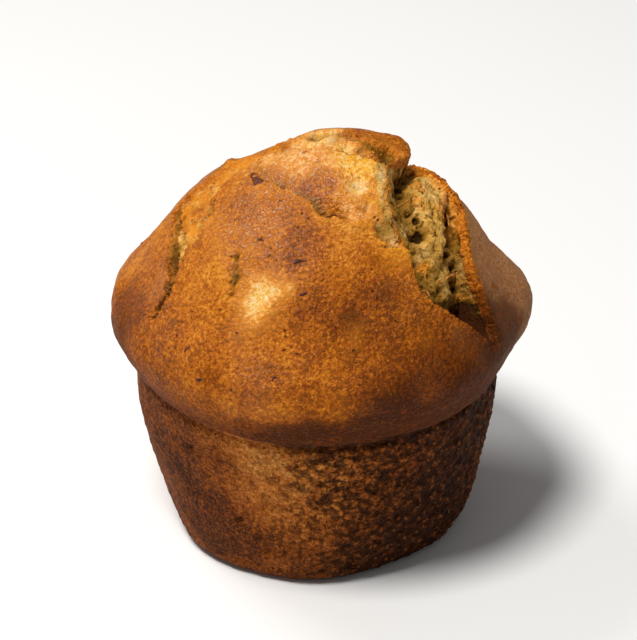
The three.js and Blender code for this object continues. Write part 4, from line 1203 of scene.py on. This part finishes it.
    # darker in hollows as painted shade, and lighter on ridges as a painted highlight
    crumb_c = N.mix(N.range(cavity_, 0.08, 0.8, 0.0, 0.7), crumb_c, lin(104, 66, 12))
    crumb_c = N.mix(times(N.range(cavity_, -0.12, -0.5, 0.0, 0.5), N.range(depth_shade_, 0.3, 0.8, 1.0, 0.0)), crumb_c, lin(232, 176, 78))
    # the crust's own torn edge: orange
    rind_c = N.ramp(add(times(n_small, 0.5), times(n_fine, 0.5)), [(0.34, lin(150, 74, 8)), (0.48, lin(206, 120, 20)), (0.62, lin(236, 164, 68))])
    crumb_c = N.mix(times(N.range(add(rind, centred(n_small, 0.7), centred(n_fine, 0.5)), 0.25, 0.85), N.range(depth_shade_, 0.55, 1.0, 0.9, 0.1)), crumb_c, rind_c)
    colour = N.mix(N.range(add(crumb, centred(n_small, 0.5), centred(n_fine, 0.4)), 0.3, 0.7), crust_c, crumb_c)
    # olive: partly the crumb's tone, mostly painted shade in crevices and hollows
    colour = N.mix(times(N.range(add(olive_and_shade_, centred(n_small, 0.6)), 0.2, 0.9), 0.75), colour, lin(132, 94, 20))

    # pores: small, sparse on the crown and thick on the cup, painted dark as painted shade in the pits the bump carves
    pore_on = N.range(add(N.noise(vec, 300, 1, 0.5), times(coarse_, 0.10)), 0.56, 0.66)
    pore_m = times(times(N.range(N.voronoi(ragged, 620), 0.20, 0.10), pore_on), 0.85)
    gap_m = times(N.range(add(gaps, times(n_fine, 0.3)), 0.63, 0.50), N.range(coarse_, 0.05, 0.8, 0.03, 0.9))
    colour = N.mix(pore_m, colour, lin(88, 38, 6))
    # the cup's ragged gaps painted dark: painted shade in the recesses the bump carves
    colour = N.mix(times(gap_m, 0.9), colour, lin(46, 20, 3))
    # between the granules the cup is painted dark as painted shade, and their tops lighter as a painted highlight
    rough_cup = N.range(add(coarse_, centred(n_mid, 0.9)), 0.0, 1.0, 0.06, 1.0)
    colour = N.mix(times(times(N.range(add(clumps, centred(n_fine, 0.3)), 0.40, 0.72, 0.0, 0.82), rough_cup), cup_), colour, lin(52, 24, 8))
    colour = N.mix(times(times(N.range(clumps, 0.32, 0.10, 0.0, 0.45), rough_cup), cup_), colour, lin(176, 104, 52))
    # granule tops painted lighter on crust and cup: painted highlight
    colour = N.mix(times(times(N.range(grains, 0.34, 0.12, 0.0, 0.22), N.range(n_mid, 0.40, 0.60, 0.25, 1.0)), N.range(b, 0.85, 0.50)), colour, N.mix(cup_, lin(236, 160, 76), lin(190, 120, 60)))
    # painted glints: light flecks painted where the crust is glossy
    painted_glint = times(N.range(N.noise(vec, 1350, 2, 0.6), 0.55, 0.66), times(N.range(add(gloss_, centred(n_mid, 0.5)), 0.25, 0.85), N.range(b, 0.85, 0.55)))
    colour = N.mix(times(painted_glint, 0.58), colour, N.mix(N.range(n_mid, 0.4, 0.6), lin(240, 190, 150), lin(240, 198, 134)))
    # darker in hollows: painted shade
    colour = N.mix(N.range(cavity_, 0.06, 0.6, 0.0, 0.5), colour, lin(70, 33, 4))
    colour = N.mix(N.range(add(N.attr("shade"), times(add(centred(n_small, 0.7), centred(n_fine, 0.4)), N.range(N.attr("shade"), 0.02, 0.3))), 0.12, 0.85, 0.0, 0.93), colour, lin(60, 27, 5))
    colour = N.mix(N.range(add(burnt_, times(add(centred(n_small, 1.5), centred(n_fine, 1.0)), N.range(burnt_, 0.02, 0.3))), 0.34, 0.62, 0.0, 0.88), colour, lin(74, 26, 14))

    height = add(times(n_small, 1.25), times(n_fine, 0.40), times(times(grains, grains), -0.35), times(pore_m, -1.2))
    height = times(times(height, N.range(pale_, 0.15, 0.9, 1.0, 0.5)), N.range(flap_shade_sheen_, 0.2, 0.8, 1.0, 0.55))
    height = add(height, times(gap_m, -1.5), times(times(times(clumps, clumps), rough_cup), times(cup_, -2.2)))
    normal_ = N.bump(height, 0.00042, 1.0)

    wet = N.math("MAXIMUM", add(gloss_, times(centred(n_mid, 0.35), N.range(gloss_, 0.03, 0.25))), 0.0)
    rough_ = add(0.62, times(n_fine, 0.16), times(wet, -0.20))

    s = N.new("ShaderNodeBsdfPrincipled")
    N.put(s.inputs["Base Color"], colour)
    N.put(s.inputs["Roughness"], rough_)
    N.put(s.inputs["Normal"], normal_)
    s.inputs["IOR"].default_value = 1.44
    s.inputs["Specular IOR Level"].default_value = 0.09
    # butter and sugar baked onto the crust: shiny in patches
    N.put(s.inputs["Coat Weight"], N.math("MINIMUM", times(wet, 0.85), 0.8))
    N.put(s.inputs["Coat Normal"], normal_)
    s.inputs["Coat Roughness"].default_value = 0.27
    s.inputs["Coat IOR"].default_value = 1.42
    s.inputs["Subsurface Weight"].default_value = 0.12
    s.inputs["Subsurface Radius"].default_value = (1.0, 0.45, 0.18)
    s.inputs["Subsurface Scale"].default_value = 0.0006
    N.t.links.new(s.outputs[0], N.out.inputs["Surface"])
    return N.mat


mesh.materials.append(muffin_material())

# ---------------------------------------------------------------------------------------------
# Shreds of crust that bridge the split, and the small dark slivers baked into the crust
# ---------------------------------------------------------------------------------------------
def at_depth(x, y, depth):
    """A place at a plan position, that many mm under the body without its splits."""
    i = int(np.argmin((px - x) ** 2 + (py - y) ** 2 + (fall > 88) * 1e6))
    return p0[i] + out[i] * (body_uneven[i] - depth) - np.array([MIDDLE[0], MIDDLE[1], 0]), out[i]


def on_surface(x, y, lift):
    i = int(np.argmin((px - x) ** 2 + (py - y) ** 2 + (fall > 88) * 1e6))
    return pos[i] + out[i] * lift, out[i]


def ribbon(places, half_width, half_thick, seed, twist=0.0, segments=22, sides=10):
    """A closed tapered strip through places, each a point and the way it faces."""
    pts_ = np.array([q for q, _ in places])
    ups_ = np.array([n for _, n in places])
    s_ = np.linspace(0, len(pts_) - 1, segments)
    i = np.minimum(s_.astype(int), len(pts_) - 2)
    w = (s_ - i)[:, None]
    a, b = np.maximum(i - 1, 0), np.minimum(i + 2, len(pts_) - 1)
    v0, v1 = (pts_[i + 1] - pts_[a]) / 2, (pts_[b] - pts_[i]) / 2
    c = (2 * pts_[i] - 2 * pts_[i + 1] + v0 + v1) * w**3 + (-3 * pts_[i] + 3 * pts_[i + 1] - 2 * v0 - v1) * w**2 + v0 * w + pts_[i]
    c += 0.10 * np.stack([value_noise(c / 1.1, seed + j) for j in range(3)], -1)
    up = ups_[i] * (1 - w) + ups_[i + 1] * w
    tangent = np.gradient(c, axis=0)
    tangent /= np.linalg.norm(tangent, axis=1, keepdims=True)
    side = np.cross(tangent, up)
    side /= np.linalg.norm(side, axis=1, keepdims=True)
    up = np.cross(side, tangent)
    t = np.linspace(0, 1, segments)
    turn = twist * (t - 0.5)
    s2 = side * np.cos(turn)[:, None] + up * np.sin(turn)[:, None]
    u2 = up * np.cos(turn)[:, None] - side * np.sin(turn)[:, None]
    taper = np.sqrt(np.maximum(0.02, np.sin(np.pi * np.clip(t, 0.02, 0.98)))) * (1 + 0.30 * value_noise(np.stack([t * 7, t * 0, t * 0 + seed], -1), seed))
    verts, faces = [], []
    for j in range(segments):
        for k_ in range(sides):
            a_ = 2 * math.pi * k_ / sides
            rag_ = 1 + 0.18 * float(value_noise(np.array([[j * 0.9, k_ * 1.3, seed]]), seed + 5)[0])
            verts.append(c[j] + s2[j] * math.cos(a_) * half_width * taper[j] * rag_ + u2[j] * math.sin(a_) * half_thick * min(1.0, taper[j]) * rag_)
    for j in range(segments - 1):
        for k_ in range(sides):
            a_, b_ = j * sides + k_, j * sides + (k_ + 1) % sides
            faces += [(a_, b_, b_ + sides), (a_, b_ + sides, a_ + sides)]
    first, last = len(verts), len(verts) + 1
    verts += [c[0] - tangent[0] * half_thick * 0.5, c[-1] + tangent[-1] * half_thick * 0.5]
    for k_ in range(sides):
        faces.append((first, (k_ + 1) % sides, k_))
        faces.append((last, (segments - 1) * sides + k_, (segments - 1) * sides + (k_ + 1) % sides))
    return np.array(verts), np.array(faces)


STRANDS = [  # places (x, y, depth in mm), half width, half thickness, twist
    ([(21.6, -20.6, 1.7), (23.7, -17.7, 1.8), (25.7, -15.4, 1.7), (27.3, -12.9, 1.7), (28.3, -10.5, 1.9), (30.4, -8.7, 2.0)], 0.19, 0.12, 2.2),
    ([(40.6, -37.6, 2.0), (42.2, -36.4, 1.4), (44.2, -33.8, 1.0), (46.4, -31.4, 0.8), (49.2, -27.4, 0.7), (52.4, -25.6, 0.6)], 0.19, 0.12, -2.4),
    ([(40.6, 4.2, 0.5), (39.0, -2.0, 0.3), (38.2, -7.2, 0.3), (38.2, -11.4, 0.6), (39.2, -13.8, 1.0), (40.8, -15.0, 1.7)], 0.42, 0.13, 1.6),
    ([(44.4, -0.2, 0.5), (43.9, -3.4, 0.3), (44.8, -6.4, 0.7)], 0.34, 0.18, 0.5),
    ([(40.8, -8.0, 1.4), (41.4, -12.0, 0.9), (42.4, -14.4, 1.3)], 0.30, 0.15, -0.6),
    ([(29.0, -10.4, 1.6), (30.6, -7.4, 1.0), (32.6, -6.4, 1.3)], 0.24, 0.14, 0.4),
    ([(35.0, -43.6, 2.2), (36.4, -43.4, 1.3), (37.2, -44.9, 0.7)], 0.26, 0.16, 0.3),
    ([(50.6, -22.6, 1.0), (48.8, -22.0, 0.9), (47.4, -22.2, 1.4)], 0.26, 0.15, 0.2),
]
SLIVERS = [  # x, y, direction in degrees, half length, half width in mm
    (-6.3, -43.0, 14, 1.05, 0.34), (-5.8, -52.0, -4, 0.9, 0.30), (-18.6, -33.3, 40, 0.4, 0.26), (-2.0, -56.0, 70, 0.35, 0.24),
    (-28.6, -58.9, -30, 0.4, 0.24), (-47.3, -56.6, 12, 0.9, 0.24), (-43.4, -66.7, -24, 1.0, 0.24), (-15.9, -73.5, 5, 0.6, 0.22),
    (30, 48, 20, 0.9, 0.3), (-40, 40, -35, 0.8, 0.28), (60, 30, 60, 0.9, 0.28), (-8, 62, 10, 0.8, 0.28), (-68, 22, 45, 0.7, 0.26), (22, 70, -20, 0.8, 0.26),
]


def shreds():
    parts, colours, n = [], [], 0
    for number, (path, hw, ht, twist) in enumerate(STRANDS):
        v, f = ribbon([at_depth(*q) for q in path], hw, ht, 300 + 11 * number, twist)
        parts.append((v, f + n))
        colours.append(np.zeros(len(v)))
        n += len(v)
    for number, (x, y, turn, hl, hw) in enumerate(SLIVERS):
        c, up = on_surface(x, y, 0.0)
        east = np.cross([0.0, 1.0, 0.0], up)
        east /= np.linalg.norm(east)
        north = np.cross(up, east)
        d = east * math.cos(math.radians(turn)) + north * math.sin(math.radians(turn))
        ends = [on_surface(x + k_ * hl * math.cos(math.radians(turn)) / MM_PER_DEGREE, y + k_ * hl * math.sin(math.radians(turn)) / MM_PER_DEGREE, 0.0) for k_ in (-1, 0, 1)]
        v, f = ribbon(ends, hw, 0.16, 500 + 7 * number, 0.0, 12, 8)
        parts.append((v, f + n))
        colours.append(np.ones(len(v)))
        n += len(v)
    return np.vstack([v for v, _ in parts]), np.vstack([f for _, f in parts]), np.concatenate(colours)


def shred_material():
    N = Nodes("crust_shreds")
    vec = N.coords()
    sliver = N.attr("sliver")
    n1, n2 = N.noise(vec, 900, 3, 0.6), N.noise(vec, 3000, 2, 0.6)
    strand_c = N.ramp(
        N.math("ADD", N.math("MULTIPLY", n1, 0.6), N.math("MULTIPLY", n2, 0.4)),
        [(0.36, lin(96, 50, 8)), (0.48, lin(158, 90, 18)), (0.60, lin(208, 142, 60))],
    )
    sliver_c = N.ramp(n1, [(0.35, lin(52, 14, 8)), (0.52, lin(92, 32, 18)), (0.68, lin(140, 62, 34))])
    s_ = N.new("ShaderNodeBsdfPrincipled")
    N.put(s_.inputs["Base Color"], N.mix(sliver, strand_c, sliver_c))
    N.put(s_.inputs["Roughness"], N.range(n2, 0.3, 0.7, 0.42, 0.62))
    N.put(s_.inputs["Normal"], N.bump(N.math("ADD", n1, N.math("MULTIPLY", n2, 0.5)), 0.0002))
    s_.inputs["Specular IOR Level"].default_value = 0.30
    s_.inputs["Subsurface Weight"].default_value = 0.05
    s_.inputs["Subsurface Radius"].default_value = (1.0, 0.45, 0.18)
    s_.inputs["Subsurface Scale"].default_value = 0.0003
    N.t.links.new(s_.outputs[0], N.out.inputs["Surface"])
    return N.mat


body_uneven = uneven(p0)
shred_v, shred_f, shred_dark = shreds()
shred_mesh = make_mesh("crust_shreds", shred_v, shred_f)
attribute(shred_mesh, "sliver", shred_dark)
shred_mesh.materials.append(shred_material())
shred_piece = bpy.data.objects.new("crust_shreds", shred_mesh)
bpy.context.scene.collection.objects.link(shred_piece)
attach(shred_piece, "root")
print("shred triangles", len(shred_f))

# ---------------------------------------------------------------------------------------------
# Floor, light and camera
# ---------------------------------------------------------------------------------------------
def floor_piece():
    me = bpy.data.meshes.new("floor")
    s = 3.0
    me.from_pydata([(-s, -s, 0), (s, -s, 0), (s, s, 0), (-s, s, 0)], [], [(0, 1, 2, 3)])
    ob = bpy.data.objects.new("floor", me)
    bpy.context.scene.collection.objects.link(ob)
    N = Nodes("pale_floor")
    s_ = N.new("ShaderNodeBsdfPrincipled")
    N.put(s_.inputs["Base Color"], N.ramp(N.noise(N.coords(), 3, 2), [(0.3, lin(246, 246, 245)), (0.7, lin(249, 249, 248))]))
    s_.inputs["Roughness"].default_value = 0.9
    s_.inputs["Specular IOR Level"].default_value = 0.2
    N.t.links.new(s_.outputs[0], N.out.inputs["Surface"])
    me.materials.append(N.mat)
    return ob


floor_piece()


def area_light(name, at, to, size, power, colour=(1, 1, 1)):
    d = bpy.data.lights.new(name, "AREA")
    d.shape = "DISK"
    d.size = size
    d.energy = power
    d.color = colour
    ob = bpy.data.objects.new(name, d)
    ob.location = at
    ob.rotation_euler = (Vector(to) - Vector(at)).to_track_quat("-Z", "Y").to_euler()
    bpy.context.scene.collection.objects.link(ob)
    return ob


def at(azimuth_, elevation, distance):
    """A place round the muffin: azimuth from the camera's side towards the right, in degrees."""
    a_, e_ = math.radians(azimuth_), math.radians(elevation)
    return (distance * math.cos(e_) * math.sin(a_), -distance * math.cos(e_) * math.cos(a_), 0.045 + distance * math.sin(e_))


area_light("key", at(-40, 68, 1.15), (0, 0, 0.045), 0.34, 11.6, (1.0, 0.985, 0.96))
area_light("side", at(-125, 52, 1.15), (0, 0, 0.05), 0.42, 4.0, (1.0, 0.98, 0.97))

world = bpy.data.worlds.new("studio")
bpy.context.scene.world = world
world.use_nodes = True
world.node_tree.nodes["Background"].inputs["Color"].default_value = (1, 1, 1, 1)
world.node_tree.nodes["Background"].inputs["Strength"].default_value = 0.18

ELEVATION = math.radians(28.2)
AIM = Vector((-0.00046 - MIDDLE[0] / 1000, 0.0 - MIDDLE[1] / 1000, 0.04153))
DISTANCE = 0.450
cam = bpy.data.cameras.new("camera")
cam.sensor_width = 36.0
cam.sensor_fit = "AUTO"
cam.lens = 5.198 * 450.0 / 640.0 * 36.0
cam.clip_start = 0.01
cam.clip_end = 20.0
camera = bpy.data.objects.new("camera", cam)
camera.location = AIM + DISTANCE * Vector((0, -math.cos(ELEVATION), math.sin(ELEVATION)))
camera.rotation_euler = (AIM - camera.location).to_track_quat("-Z", "Y").to_euler()
bpy.context.scene.collection.objects.link(camera)
bpy.context.scene.camera = camera

bpy.context.scene.view_settings.view_transform = "Standard"
bpy.context.scene.view_settings.look = "None"
bpy.context.scene.view_settings.exposure = 0.0
bpy.context.scene.view_settings.gamma = 1.0

print("muffin triangles", len(tri), "vertices", len(pos))
